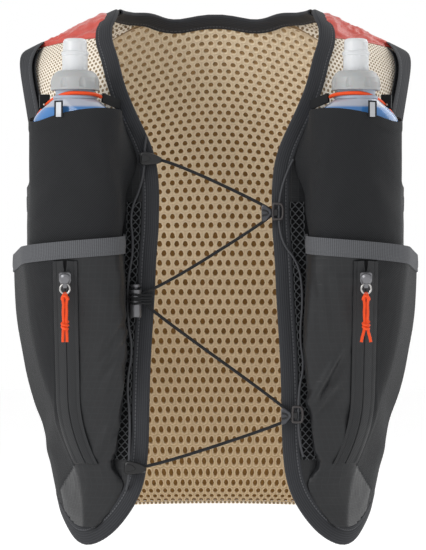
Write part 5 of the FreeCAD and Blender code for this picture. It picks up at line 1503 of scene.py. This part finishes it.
def build_back(s):
    """Rear compartment, its open stretch pocket with a hem, and the zip across its upper part."""
    def folds(u, z):
        soft = rear_soft(u) * ease((REAR_TOP - z) / 25) * ease((z - REAR_FOOT) / 25)
        near_zip = ease((abs(z - REAR_ZIP) - 12) / 18)
        return soft * near_zip * 0.8 * wrinkle(u * 110, z * 0.45, 21)

    def pouch_folds(u, z):
        soft = rear_soft(u) * ease((z - REAR_FOOT) / 30)
        return rear_bulge(u, z) + soft * 0.9 * wrinkle(u * 60, z * 0.3, 33)

    body, grid = rear_sheet("rear_sack", spread(REAR_FOOT, REAR_TOP, 110), folds, WALL, "light ripstop",
                            "rear_compartment", "light_ripstop")
    stretched(body, grid)
    pouch, grid = rear_sheet("rear_pouch", spread(REAR_FOOT + 2, REAR_MOUTH, 70), pouch_folds, WALL,
                             "stretch twill", "rear_pocket", "stretch_twill")
    stretched(pouch, grid)
    low = REAR_MOUTH + SEAM
    rear_sheet("rear_pouch_hem", spread(low, REAR_MOUTH + BAND_TALL, 10), rear_bulge, WALL * 2,
               "band elastic", "rear_pocket_hem", "band_elastic", low)

    lengths = spread(-70, 70, 40)

    def tape_spot(x, share, rise, face):
        deep = REAR_FACE + ZIP_SEAT + face * (TAPE_THICK + rise * 0.5)
        return Vector((x, deep, REAR_ZIP - TAPE_HALF * share))

    inner, outer = ([[tape_spot(x, share, rise, face) for share, rise in TAPE_PROFILE] for x in lengths]
                    for face in (0, 1))
    marks = [[(TAPE_HALF * share, x, 0) for share, _ in TAPE_PROFILE] for x in lengths]
    attach(sheet("rear_zip_strip", inner, outer, marks, ["zip tape"]), "vest", "zip_tape", "rear_zip_tape")


# ------------------------------------------------------------------ flasks
SHOULDER_LOW, COLLAR_LOW, COLLAR_RADIUS = 336, 357.5, 17.2
FILM = 0.8

# ------------------------------------------------------------------ flasks
def bladder_rings(shrink):
    """(height, half width, half depth) of the rings of a full bladder, from its foot to its collar."""
    rings = []
    for k in range(9):
        share = (k / 8) ** 1.5
        swell = math.sin(math.radians(QUARTER * share))
        rings.append((mix(BLADDER_FOOT + shrink, FULL_LOW, share), mix(0.8, 1, swell) * BLADDER_WIDE,
                      mix(2.2, BLADDER_DEEP, swell)))
    rings += [(z, BLADDER_WIDE, BLADDER_DEEP) for z in (250, 270, 290, 310, 325)]
    for share in shares(14):
        close = 1 - math.cos(math.radians(QUARTER * share))
        rings.append((mix(SHOULDER_LOW, COLLAR_LOW, share), mix(BLADDER_WIDE, COLLAR_RADIUS, close),
                      mix(BLADDER_DEEP, COLLAR_RADIUS, close)))
    return [(z, a - shrink, d - shrink) for z, a, d in rings]


def build_bladders(s):
    """Clear flexible film, with the blue band that its shoulder carries at the pocket's rim."""
    sides = 56
    for word, side in SIDES.items():
        turn = Matrix.Rotation(math.radians(side * FLASK_TURN), 3, "Z")
        points, faces, tones, cloth = [], [], [], []
        for shrink in (0.0, FILM):
            rings = bladder_rings(shrink)
            start = len(points)
            for z, a, d in rings:
                buckle = 0.02 * ease((z - 300) / 30) * ease((356 - z) / 12)
                band = ease((z - 333) / 3) * ease((351.5 - z) / 1.5)
                ripple = (0.5 + 0.5 * math.sin(z * 2.6)) ** 3
                lines = 0.55 * ripple * ease((z - 300) / 10) * ease((340 - z) / 6)
                for k in range(sides):
                    angle = 2 * math.pi * k / sides
                    dent = 1 - buckle * math.sin(3 * angle + z * 0.09)
                    spot = turn @ Vector((a * math.cos(angle) * dent, d * math.sin(angle) * dent, 0))
                    points.append(Vector((side * FLASK.x + spot.x, FLASK.y + spot.y, z)))
                    tones.append(max(band, lines))
                    cloth.append((angle * 30, z, 0))
            wall = ring_faces(len(rings), sides, start=start)
            foot = tuple(start + k for k in range(sides))
            faces += [face[::-1] for face in wall] + [foot] if shrink else wall + [foot[::-1]]
        step = len(rings) * sides
        last = step - sides
        for k in range(sides):
            a0, a1 = last + k, last + (k + 1) % sides
            faces.append((a0, a1, a1 + step, a0 + step))
        obj = make_mesh(f"bladder_film_{word}", points, faces, cloth, tones, ["clear film"], None, 60)
        fix_normals(obj)
        attach(obj, f"flask_{word}", "bladder_film", f"flask_bladder_{word}")


# ------------------------------------------------------------------ cords
def cord_curve(name, route, radius, look):
    """A free cord as one NURBS spline through its route's control points, in metres."""
    curve = bpy.data.curves.new(name, "CURVE")
    curve.dimensions = "3D"
    curve.bevel_depth = radius
    curve.bevel_resolution = 4
    curve.resolution_u = 14
    curve.use_fill_caps = True
    spline = curve.splines.new("NURBS")
    spline.points.add(len(route) - 1)
    for point, place in zip(spline.points, route):
        point.co = (*place, 1.0)
    spline.order_u = 3
    spline.use_endpoint_u = True
    curve.materials.append(MATERIALS[look])
    return link(bpy.data.objects.new(name, curve))


def curve_points(obj):
    """Points along a curve's own line, in metres."""
    depth, caps = obj.data.bevel_depth, obj.data.use_fill_caps
    obj.data.bevel_depth, obj.data.use_fill_caps = 0.0, False
    mesh = bpy.data.meshes.new_from_object(obj)
    points = [v.co.copy() for v in mesh.vertices]
    bpy.data.meshes.remove(mesh)
    obj.data.bevel_depth, obj.data.use_fill_caps = depth, caps
    return points


def line_length(points):
    return sum((b - a).length for a, b in zip(points, points[1:]))


DAISY_ROUTES = {
    "right": [(-0.0558, -0.1039, 0.3286), (-0.0575, -0.1077, 0.3190), (-0.0575, -0.1101, 0.3010),
              (-0.0608, -0.1069, 0.2862), (-0.0695, -0.1057, 0.2661), (-0.0659, -0.1065, 0.2380),
              (-0.0710, -0.1071, 0.2120), (-0.0710, -0.1071, 0.1780), (-0.0670, -0.1029, 0.1557),
              (-0.0722, -0.0996, 0.1277), (-0.0692, -0.0984, 0.0997), (-0.0700, -0.1012, 0.0690),
              (-0.0700, -0.0998, 0.0510), (-0.0725, -0.0931, 0.0417)],
    "left": [(0.0629, -0.1049, 0.3094), (0.0510, -0.1112, 0.2870), (0.0510, -0.1118, 0.2450),
             (0.0675, -0.1060, 0.2259), (0.0711, -0.1043, 0.1978), (0.0680, -0.1033, 0.1657),
             (0.0721, -0.1007, 0.1417), (0.0670, -0.1053, 0.1230), (0.0670, -0.1024, 0.0810),
             (0.0713, -0.0954, 0.0687)],
}
RETAINER_ROUTE = [(0.1466, -0.0599, 0.3468), (0.1304, -0.1344, 0.3614), (0.0956, -0.1344, 0.3614),
                  (0.0926, -0.1150, 0.3594)]
LACE_ROUTES = {
    "upper": [(-0.0516, -0.1089, 0.3100), (-0.0405, -0.1089, 0.3100), (0.0468, -0.1115, 0.2692),
              (0.0468, -0.1115, 0.2632), (-0.0570, -0.1101, 0.1982), (-0.0705, -0.1101, 0.1982)],
    "lower": [(-0.0641, -0.1005, 0.0600), (-0.0530, -0.1005, 0.0600), (0.0628, -0.1039, 0.0984),
              (0.0628, -0.1039, 0.1046), (-0.0520, -0.1101, 0.1872), (-0.0570, -0.1101, 0.1952),
              (-0.0705, -0.1101, 0.1952)],
}


def fixed_cord(name, route, diameter, look, slot, node):
    """A cord that lies taut on the vest, with both ends held by it; it is measured before it rides the vest."""
    obj = cord_curve(name, route, diameter / 2, look)
    length = line_length(curve_points(obj))
    attach(obj, "vest", slot, node)
    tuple(route[0])


def build_daisy_cords(s):
    """Thin black cords wandering down the net tapes, straight where a hook or the lock sits."""
    for word, route in DAISY_ROUTES.items():
        # The black cords take a dark grey finish: painted sheen.
        fixed_cord(f"ladder_cord_{word}", route, 0.002, "ladder cord sheen", "daisy_cord", f"daisy_cord_{word}")


def build_retainers(s):
    """Orange elastics under the caps."""
    for word, side in SIDES.items():
        route = [(side * x, y, z) for x, y, z in RETAINER_ROUTE]
        fixed_cord(f"neck_elastic_{word}", route, 0.003, "orange cord", "retainer_elastic",
                   f"retainer_elastic_{word}")


def build_laces(s):
    """Two elastic laces across the chest; each turns round a hook that slides, so it follows that hook."""
    for word, route in LACE_ROUTES.items():
        guide = cord_curve(f"lace_{word}_guide", route, 0.0, "lace cord")
        line = curve_points(guide)
        bpy.data.objects.remove(guide)
        obj = tube(f"chest_lace_{word}", [p / MM for p in line], 1.3, "lace cord", 10)
        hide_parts(f"lace_{word}")
        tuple(route[0])
        line_length(line)
        [tuple(p) for p in line]
        _, y, z = route[2]
        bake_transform(obj)


# ------------------------------------------------------------------ hardware
def build_net_tapes(s):
    """Black net tapes beside the front bindings: a dark ground with a diamond net of thread on it."""
    width, low, high = NET_WIDE - 3 * SEAM, 66.0, 275.0
    period, lines = 6.6, 5
    steps = int((high - low) / period * 6)
    tall, columns = spread(low, high, 60), [0, 0.5, 1]
    marks = [[(u * width, z, 0) for u in columns] for z in tall]
    for word, side in SIDES.items():
        def spot(across, z, lift):
            place = on_skin(free_x(z) + BINDING + SEAM + across, z)
            return raised(side * place.x, place.y, PANEL + SEAM + lift)

        inner, outer = ([[spot(u * width, z, lift) for u in columns] for z in tall] for lift in (0, 0.5))
        ground = sheet(f"net_ground_{word}", inner, outer, marks, ["dark ground"])
        threads = []
        for line in range(lines):
            way = []
            for z in spread(low, high, steps):
                swing = math.sin(2 * math.pi * z / period) * (1 if line % 2 else -1)
                swing = math.copysign(abs(swing) ** 0.7, swing) * width / (lines - 1) / 2 * 0.92
                way.append(spot(min(max(width * line / (lines - 1) + swing, 0.4), width - 0.4), z, 1.0))
            threads.append(tube(f"net_{word}_{line}", way, 0.46, "net thread", 5))
        for obj in (ground, joined(f"net_threads_{word}", threads)):
            attach(obj, "vest", "ladder_mesh", f"ladder_tape_{word}")


def pull_cords(word, at, half, splay):
    """The doubled cord of a pull: two strands, their tails, a hitch, a loop round the bail and a knot."""
    parts = []
    for k, sign in enumerate((-1, 1)):
        strand = [(0.8, -0.3, -8.0), (1.35, -0.6, -11), (0.95, 0.2 * sign, -16), (1.15, 0.1, -22),
                  (0.95, -0.2 * sign, -29), (0.8, 0, -34)]
        tail = [(half * 0.8, 0, -35), (half * 1.1 + splay * 0.3, 0, -40),
                (half * 1.15 + splay, 0.2 * sign, -45), (half * 1.15 + splay * 1.4, 0, -49)]
        for label, way in (("strand", [at(sign * half * x, y, z) for x, y, z in strand]),
                           ("tail", [at(sign * x, y, z) for x, y, z in tail])):
            parts.append(tube(f"{label}_{word}_{k}", flowing(way), half, "orange cord", 10, False, 0.04))
    hitch = [(-1.9, -0.6, -10.8), (-1.0, -1.6, -8.2), (1.0, -1.7, -9.0), (2.0, -0.5, -11.2), (1.6, 1.2, -9.6),
             (0, 1.6, -8.4), (-1.6, 1.2, -9.6), (-2.0, 0, -11.6)]
    loop = [(-1.0, -0.5, -11), (-0.9, -0.5, -7.4), (-0.5, 0.6, -6.2), (0.5, 0.6, -6.2), (0.9, -0.5, -7.4),
            (1.0, -0.5, -11)]
    for label, spots, thick in (("hitch", hitch, 0.95), ("loop", loop, 0.9)):
        way = flowing([at(half * x, half * y, z) for x, y, z in spots])
        parts.append(tube(f"{label}_{word}", way, half * thick, "orange cord", 10))
    knot = []
    for k in range(46):
        a = 2 * math.pi * k / 20
        r = half * (1.75 + 0.18 * math.sin(2.3 * a))
        knot.append(at(r * math.cos(a), r * 0.85 * math.sin(a), -31.2 - 6.8 * k / 45 + 0.7 * math.sin(a)))
    parts.append(tube(f"knot_{word}", knot, half * 0.98, "orange cord", 10))
    return joined(f"pull_cords_{word}", parts)


def build_pulls(s):
    """Zip pulls: a wire bail, a doubled orange cord hitched to it, an overhand knot and two tails."""
    upright, sideways = Matrix.Identity(3), Matrix.Rotation(math.pi / 2, 3, "Z")
    for word, pivot, turn, node, body, splay in (
            ("right", (-ZIP_X, -147.88, 207.79), upright, "zip_pull_right", "pull_right", 0.2),
            ("left", (ZIP_X, -147.88, 207.79), upright, "zip_pull_left", "pull_left", 1.7),
            ("rear", (51.68, 137.99, 321.77), sideways, "rear_zip_pull", "rear_pull", 0.8)):
        pivot = Vector(pivot)

        def at(x, y, z):
            return pivot + turn @ Vector((x, y, z * 0.9 - 0.9))

        across, up = turn @ Vector((1, 0, 0)), Vector((0, 0, 1))
        way = [pivot - up * 2.8 + across * (3.9 * math.cos(a)) + up * (3.9 * math.sin(a))
               for a in np.linspace(0, 2 * math.pi, 33)[:-1]]
        attach(tube(f"bail_{word}", way, 0.8, "nickel", 10, closed=True), body, "slider_metal", node)
        attach(pull_cords(word, at, 0.5 * s.pull_cord, splay), body, "pull_cord", node)


def moulded(name, outline, centre, deep, look, bevel=1.0):
    """A moulded piece: an outline across and up, carried back by deep, with a bevelled front edge."""
    middle = Vector((sum(x for x, _ in outline), sum(z for _, z in outline))) / len(outline)
    points, count = [], len(outline)
    for y, inset in ((deep, 0.0), (bevel, 0.0), (bevel * 0.3, bevel * 0.3), (0.0, bevel)):
        for x, z in outline:
            spot = Vector((x, z)) - middle
            spot = middle + spot * (1 - inset / spot.length)
            points.append(centre + Vector((spot.x, y, spot.y)))
    ends = [tuple(range(count)), tuple(reversed(range(3 * count, 4 * count)))]
    obj = make_mesh(name, points, ends + ring_faces(4, count), None, None, [look], None, 35)
    fix_normals(obj)
    return obj


def turned(name, centre, profile, look, sides=28):
    """A turned piece from its (radius, height) profile."""
    points, count = [], len(profile)
    for k in range(sides):
        a = 2 * math.pi * k / sides
        points += [centre + Vector((r * math.cos(a), r * math.sin(a), z)) for r, z in profile]
    faces = []
    for k in range(sides):
        a, b = k * count, (k + 1) % sides * count
        faces += [(a + c, b + c, b + c + 1, a + c + 1) for c in range(count - 1)]
    obj = make_mesh(name, points, faces, None, None, [look], None, 40)
    fix_normals(obj)
    return obj


# Outlines, across and up from the piece's centre, and the hook's square loop.
END_NOSE = [(-9.0, -3.4), (-6.6, -5.4), (-2.0, -5.6), (5.6, -4.4), (8.8, -3.0), (9.0, 0.6), (3.6, 3.4),
            (-4.4, 5.6), (-8.0, 4.6), (-9.0, 2.0)]
END_BARB = [(-7.6, -3.2), (-3.0, -2.6), (0.6, -0.6), (-2.4, 2.4), (-7.0, 3.2)]
HOOK_NOSE = [(-8.8, -6.4), (-7.4, -7.0), (-5.6, -6.6), (-1.2, -1.4), (-0.6, 0.4), (-1.4, 2.6), (-6.6, 6.6),
             (-8.0, 6.8), (-9.0, 5.6)]
HOOK_NECK = [(-2.2, -1.8), (4.4, -2.4), (4.4, 3.0), (-2.2, 2.2)]
HOOK_LOOP = [(0.6, 6.4), (1.6, 7.4), (6.2, 7.2), (7.6, 6.0), (8.4, 2.0), (8.0, -3.4), (6.6, -4.8),
             (1.6, -5.0), (0.4, -4.0), (0.2, 1.0)]


def lace_end(word, at):
    """The nose and barb that hold a lace's end."""
    nose = moulded(f"lace_nose_{word}", END_NOSE, at - Vector((0, 0.8, 0)), 5.2, "moulded black", 1.6)
    barb = moulded(f"lace_barb_{word}", END_BARB, at - Vector((0, 1.9, 0)), 2.0, "moulded black", 0.7)
    return joined(f"lace_end_piece_{word}", [nose, barb])


def lace_hook(word, at):
    """A nose with a slot round its middle, a neck, and the loop that slides on the ladder cord."""
    slot = [at + Vector((-8.4 + 4.6 * math.sin(a) * (1 if a < math.pi else 0), -0.4, 2.2 * math.cos(a)))
            for a in np.linspace(0, math.pi, 13)]
    way = [at + Vector((x, 1.6, z)) for x, z in HOOK_LOOP]
    loop = flowing(way + way[:1], 4)[:-1]
    # The black nose takes the grey hook sheen finish: painted sheen.
    return joined(f"lace_hook_piece_{word}", [
        moulded(f"nose_{word}", HOOK_NOSE, at, 4.6, "hook sheen", 1.2),
        tube(f"nose_slot_{word}", slot, 0.75, "moulded black", 8),
        moulded(f"neck_{word}", HOOK_NECK, at + Vector((0, 1.2, 0)), 3.0, "moulded black", 0.6),
        tube(f"loop_{word}", loop, 1.05, "hook loop", 10, closed=True)])


def build_hooks(s):
    """Lace ends on one front; on the other, hooks with a slotted nose and a square loop on the cord."""
    for word, place in (("upper", (-52.5, -112.6, 310.0)), ("lower", (-65.0, -103.9, 60.0))):
        attach(lace_end(word, Vector(place)), "vest", "hook_plastic", f"lace_end_{word}")
    for word, place in (("upper", (46.0, -114.2, 266.0)), ("lower", (62.0, -107.0, 102.0))):
        attach(lace_hook(word, Vector(place)), f"hook_{word}", "hook_plastic", f"lace_hook_{word}")


# The cord lock's axis, (radius, height) profiles of its barrel and button, and one turn of the lace in it.
LOCK_AXIS = Vector((-64.5, -110.4, 0))
LOCK_BARREL = [(0, 181.8), (4.2, 181.8), (4.8, 182.3), (4.9, 183.2), (4.9, 203.4), (4.7, 204.0), (4.4, 204.0),
               (4.2, 203.6), (4.2, 199.7), (0, 199.7)]
LOCK_BUTTON = [(0, 205.3), (2.2, 205.3), (2.2, 206.0), (3.5, 206.5), (3.8, 207.2), (3.6, 208.2), (2.6, 208.6),
               (0, 208.7)]
LOCK_WRAP = [(-3.6, -3.8, 1.5), (-1.0, -5.8, 1.7), (5.0, -5.2, 1.2), (11.2, -2.6, 1.0), (12.8, -1.4, 0),
             (11.4, -2.6, -1.1), (5.0, -5.2, -1.0), (-1.0, -5.8, -1.6), (-3.6, -3.8, -1.4)]


def build_cord_lock(s):
    """A turned metal cord lock with its sprung button, and the lace wrapped through it."""
    barrel = turned("lock_barrel", LOCK_AXIS, LOCK_BARREL, "gunmetal")
    attach(barrel, "vest", "lock_metal", "cord_lock_body")
    button = turned("lock_button", LOCK_AXIS, LOCK_BUTTON, "gunmetal")
    attach(button, "lock_plunger", "lock_metal", "cord_lock_plunger")
    wraps = []
    for k, level in enumerate((198.6, 194.4)):
        way = [LOCK_AXIS + Vector((x, y, level + z)) for x, y, z in LOCK_WRAP]
        wraps.append(tube(f"wrap_{k}", flowing(way, 5), 1.0, "lace cord", 10))
    wrap = joined("lock_wraps", wraps)
    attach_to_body(wrap, "vest")


CAD_LOOKS = {
    "flask_collar": "collar plastic", "flask_cap": "cap plastic", "bite_valve": "valve silicone",
    "retainer_tab": "soft black", "keeper_webbing": "webbing", "zip_slider": "gunmetal",
    "rear_zip_slider": "gunmetal", "cord_lock_spring": "spring wire",
}


def build_hardware(s):
    """Finishes of the moulded and metal parts whose shape is the frame's own."""
    for name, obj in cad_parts.items():
        for prefix, look in CAD_LOOKS.items():
            if name.startswith(prefix):
                if not obj.material_slots:
                    obj.data.materials.append(MATERIALS[look])
                for slot in obj.material_slots:
                    slot.material = MATERIALS[look]


# ------------------------------------------------------------------ the stage
FLOOR_HALF, FLOOR_LOW = 6, -0.12
AIM = Vector((0, 0, 0.22))


def build_world(s):
    """An even white light, and a white ground that the camera, metal and glass see."""
    world = bpy.data.worlds.new("studio")
    world.use_nodes = True
    bpy.context.scene.world = world
    sky = Nodes()
    sky.tree = world.node_tree
    back = sky.tree.nodes["Background"]
    sky.feed(back.inputs["Color"], (1, 1, 1, 1))
    rays = sky.add("LightPath").outputs
    seen = rays["Is Camera Ray"]
    for label in ("Is Glossy Ray", "Is Transmission Ray"):
        seen = sky.math("MAXIMUM", seen, rays[label])
    level = sky.add("Mix")
    for index, value in ((0, seen), (2, s.sky_level), (3, 1.0)):
        sky.feed(level.inputs[index], value)
    sky.feed(back.inputs["Strength"], level.outputs[0])


def build_stage(s):
    """Floor, soft light and the camera."""
    scene = bpy.context.scene
    floor = link(bpy.data.objects.new("floor", bpy.data.meshes.new("floor")))
    corners = [(x * FLOOR_HALF, y * FLOOR_HALF, FLOOR_LOW) for x, y in ((-1, -1), (1, -1), (1, 1), (-1, 1))]
    floor.data.from_pydata(corners, [], [(0, 1, 2, 3)])
    floor.data.materials.append(MATERIALS["floor"])
    build_world(s)

    for name, place, energy in (("key", (-1.5, -1.4, 1.2), s.key_power),
                                ("rim", (1.3, 0.6, 1.2), s.key_power * 0.5)):
        lamp = bpy.data.lights.new(name, "AREA")
        lamp.size, lamp.energy = 1.2, energy
        obj = link(bpy.data.objects.new(name, lamp))
        obj.location = place
        obj.rotation_mode = "QUATERNION"
        obj.rotation_quaternion = (AIM - Vector(place)).to_track_quat("-Z", "Y")

    camera = bpy.data.cameras.new("camera")
    camera.lens, camera.sensor_width, camera.sensor_fit = 188.2, 36.0, "AUTO"
    camera.clip_start, camera.clip_end = 0.05, 50.0
    obj = link(bpy.data.objects.new("camera", camera))
    obj.location = (-0.002, -2.43, 0.216)
    obj.rotation_euler = (math.radians(90), 0, 0)
    scene.camera = obj
    scene.view_settings.view_transform = "Standard"


# ------------------------------------------------------------------ the add-on
def colour_setting(label, text, value):
    return FloatVectorProperty(name=label, description=text, subtype="COLOR", size=3, min=0, max=1,
                               default=linear(value))


def size_setting(label, text, value, low, high):
    return FloatProperty(name=label, description=text, default=value, min=low, max=high)


class VestSettings(bpy.types.PropertyGroup):
    """Sizes in millimetres and colours of the vest."""
    mesh_pitch: size_setting("Mesh pitch", "Distance between holes across the back, mm", 7.3, 5, 12)
    mesh_row: size_setting("Mesh row", "Distance between rows of holes at mid back, mm", 8.6, 5, 14)
    hole_width: size_setting("Hole width", "Hole's width as a share of the pitch", 0.66, 0.3, 0.9)
    hole_height: size_setting("Hole height", "Hole's height as a share of the row", 0.82, 0.3, 0.9)
    yoke_crinkle: size_setting("Yoke crinkle", "Depth of the shoulder cloth's crinkles, mm", 2.4, 0, 4)
    crease_depth: size_setting("Crease depth", "Depth of the lower pockets' creases, as a factor", 1.4, 0, 2)
    pull_cord: size_setting("Pull cord", "Diameter of the zip pulls' cord, mm", 2.4, 1, 4)
    # Painted light: where the backing starts to grow paler towards the neck.
    backing_light_start: size_setting("Fade start", "Height where the back's backing grows paler, mm", 330, 0, 600)
    sky_level: size_setting("Sky level", "Strength of the even light", 0.58, 0, 2)
    key_power: size_setting("Key power", "Power of the soft key lamp, W", 22, 0, 100)
    twill_colour: colour_setting("Twill", "Stretch cloth of the pockets", (30, 31, 33))
    ripstop_colour: colour_setting("Ripstop", "Light cloth of the lower pockets", (31, 32, 34))
    yoke_colour: colour_setting("Yoke", "Shoulder cloth", (200, 76, 64))
    binding_colour: colour_setting("Binding", "Edge tape", (49, 50, 53))
    band_colour: colour_setting("Band", "Elastic at the pockets' mouths", (86, 87, 90))
    thread_colour: colour_setting("Thread", "Stitching", (84, 85, 88))
    shoulder_colour: colour_setting("Shoulder knit", "Fine knit of the fronts", (250, 240, 224))
    hole_colour: colour_setting("Knit holes", "Holes of the fine knit", (140, 118, 86))
    mesh_colour: colour_setting("Back knit", "Open knit of the back", (224, 202, 170))
    # Painted shade: the open knit's colour at the hem, darker for the shade inside the vest.
    low_shade_colour: colour_setting("Back knit, low", "Open knit towards the hem", (196, 170, 130))
    high_colour: colour_setting("Back knit, high", "Open knit at the neck", (208, 186, 156))
    # Painted highlight: the colour of the back's hole rims.
    rim_highlight_colour: colour_setting("Hole rims", "Rims of the back's holes", (240, 224, 196))
    # Painted shade: the colour of the back's hole walls.
    wall_shade_colour: colour_setting("Hole walls", "Walls of the back's holes", (180, 150, 106))
    backing_colour: colour_setting("Backing", "Cloth behind the back's holes", (130, 96, 48))
    # Painted light: the backing's paler colour towards the neck.
    backing_lit_colour: colour_setting("Backing, high", "Cloth behind the neck's holes", (176, 148, 108))
    zip_colour: colour_setting("Zip tape", "Tape of the zips", (38, 39, 41))
    orange_colour: colour_setting("Orange cord", "Zip pulls and neck elastics", (244, 84, 36))
    cord_colour: colour_setting("Black cord", "Lacing and webbing", (26, 27, 29))
    net_colour: colour_setting("Net thread", "Thread of the net tapes", (66, 68, 70))
    film_colour: colour_setting("Film", "Clear flask film", (188, 194, 208))
    water_colour: colour_setting("Blue band", "Printed band of the flask", (74, 140, 208))


class VestBuilder:
    """What the operators share."""
    bl_options = {"REGISTER", "UNDO"}
    work = None

    def execute(self, context):
        type(self).work(context.scene.vest_settings)
        return {"FINISHED"}


def builder(identity, label, work):
    """An operator that runs one of the building functions and shows its docstring."""
    values = {"bl_idname": "vest." + identity, "bl_label": label, "__doc__": work.__doc__,
              "work": staticmethod(work)}
    return type("VEST_OT_" + identity, (VestBuilder, bpy.types.Operator), values)


BUILDERS = [
    builder("stage", "Stage, light and camera", build_stage),
    builder("daisy_cords", "Ladder cords", build_daisy_cords),
    builder("retainers", "Neck elastics", build_retainers),
    builder("laces", "Chest laces", build_laces),
    builder("back_mesh", "Back knit", build_back_mesh),
    builder("front_mesh", "Front knit", build_front_mesh),
    builder("yokes", "Shoulder yokes", build_yokes),
    builder("bindings", "Edge tapes", build_bindings),
    builder("flask_pockets", "Flask pockets", build_flask_pockets),
    builder("zip_pockets", "Lower pockets", build_zip_pockets),
    builder("bands", "Mouth bands", build_bands),
    builder("zip_tapes", "Zip tapes", build_zip_tapes),
    builder("rim_tabs", "Rim tabs", build_rim_tabs),
    builder("back", "Rear pockets", build_back),
    builder("bladders", "Flask bladders", build_bladders),
    builder("net_tapes", "Net tapes", build_net_tapes),
    builder("pulls", "Zip pulls", build_pulls),
    builder("hooks", "Lace ends and hooks", build_hooks),
    builder("cord_lock", "Cord lock", build_cord_lock),
    builder("hardware", "Moulded and metal parts", build_hardware),
]


class VEST_PT_panel(bpy.types.Panel):
    """Sizes, colours and one button for each group of pieces."""
    bl_label = "Hydration vest"
    bl_idname = "VEST_PT_panel"
    bl_space_type = "VIEW_3D"
    bl_region_type = "UI"
    bl_category = "Vest"

    def draw(self, context):
        for name in VestSettings.__annotations__:
            self.layout.prop(context.scene.vest_settings, name)
        for cls in BUILDERS:
            self.layout.operator(cls.bl_idname)


CLASSES = [VestSettings, *BUILDERS, VEST_PT_panel]


def register():
    for cls in CLASSES:
        bpy.utils.register_class(cls)
    bpy.types.Scene.vest_settings = PointerProperty(type=VestSettings)


def unregister():
    del bpy.types.Scene.vest_settings
    for cls in reversed(CLASSES):
        bpy.utils.unregister_class(cls)


def main():
    register()
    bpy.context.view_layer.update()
    settings = bpy.context.scene.vest_settings
    GROUPS.update(build_groups())
    build_materials(settings)
    for cls in BUILDERS:
        getattr(bpy.ops.vest, cls.bl_idname.split(".")[1])()


if __name__ == "__main__":
    main()
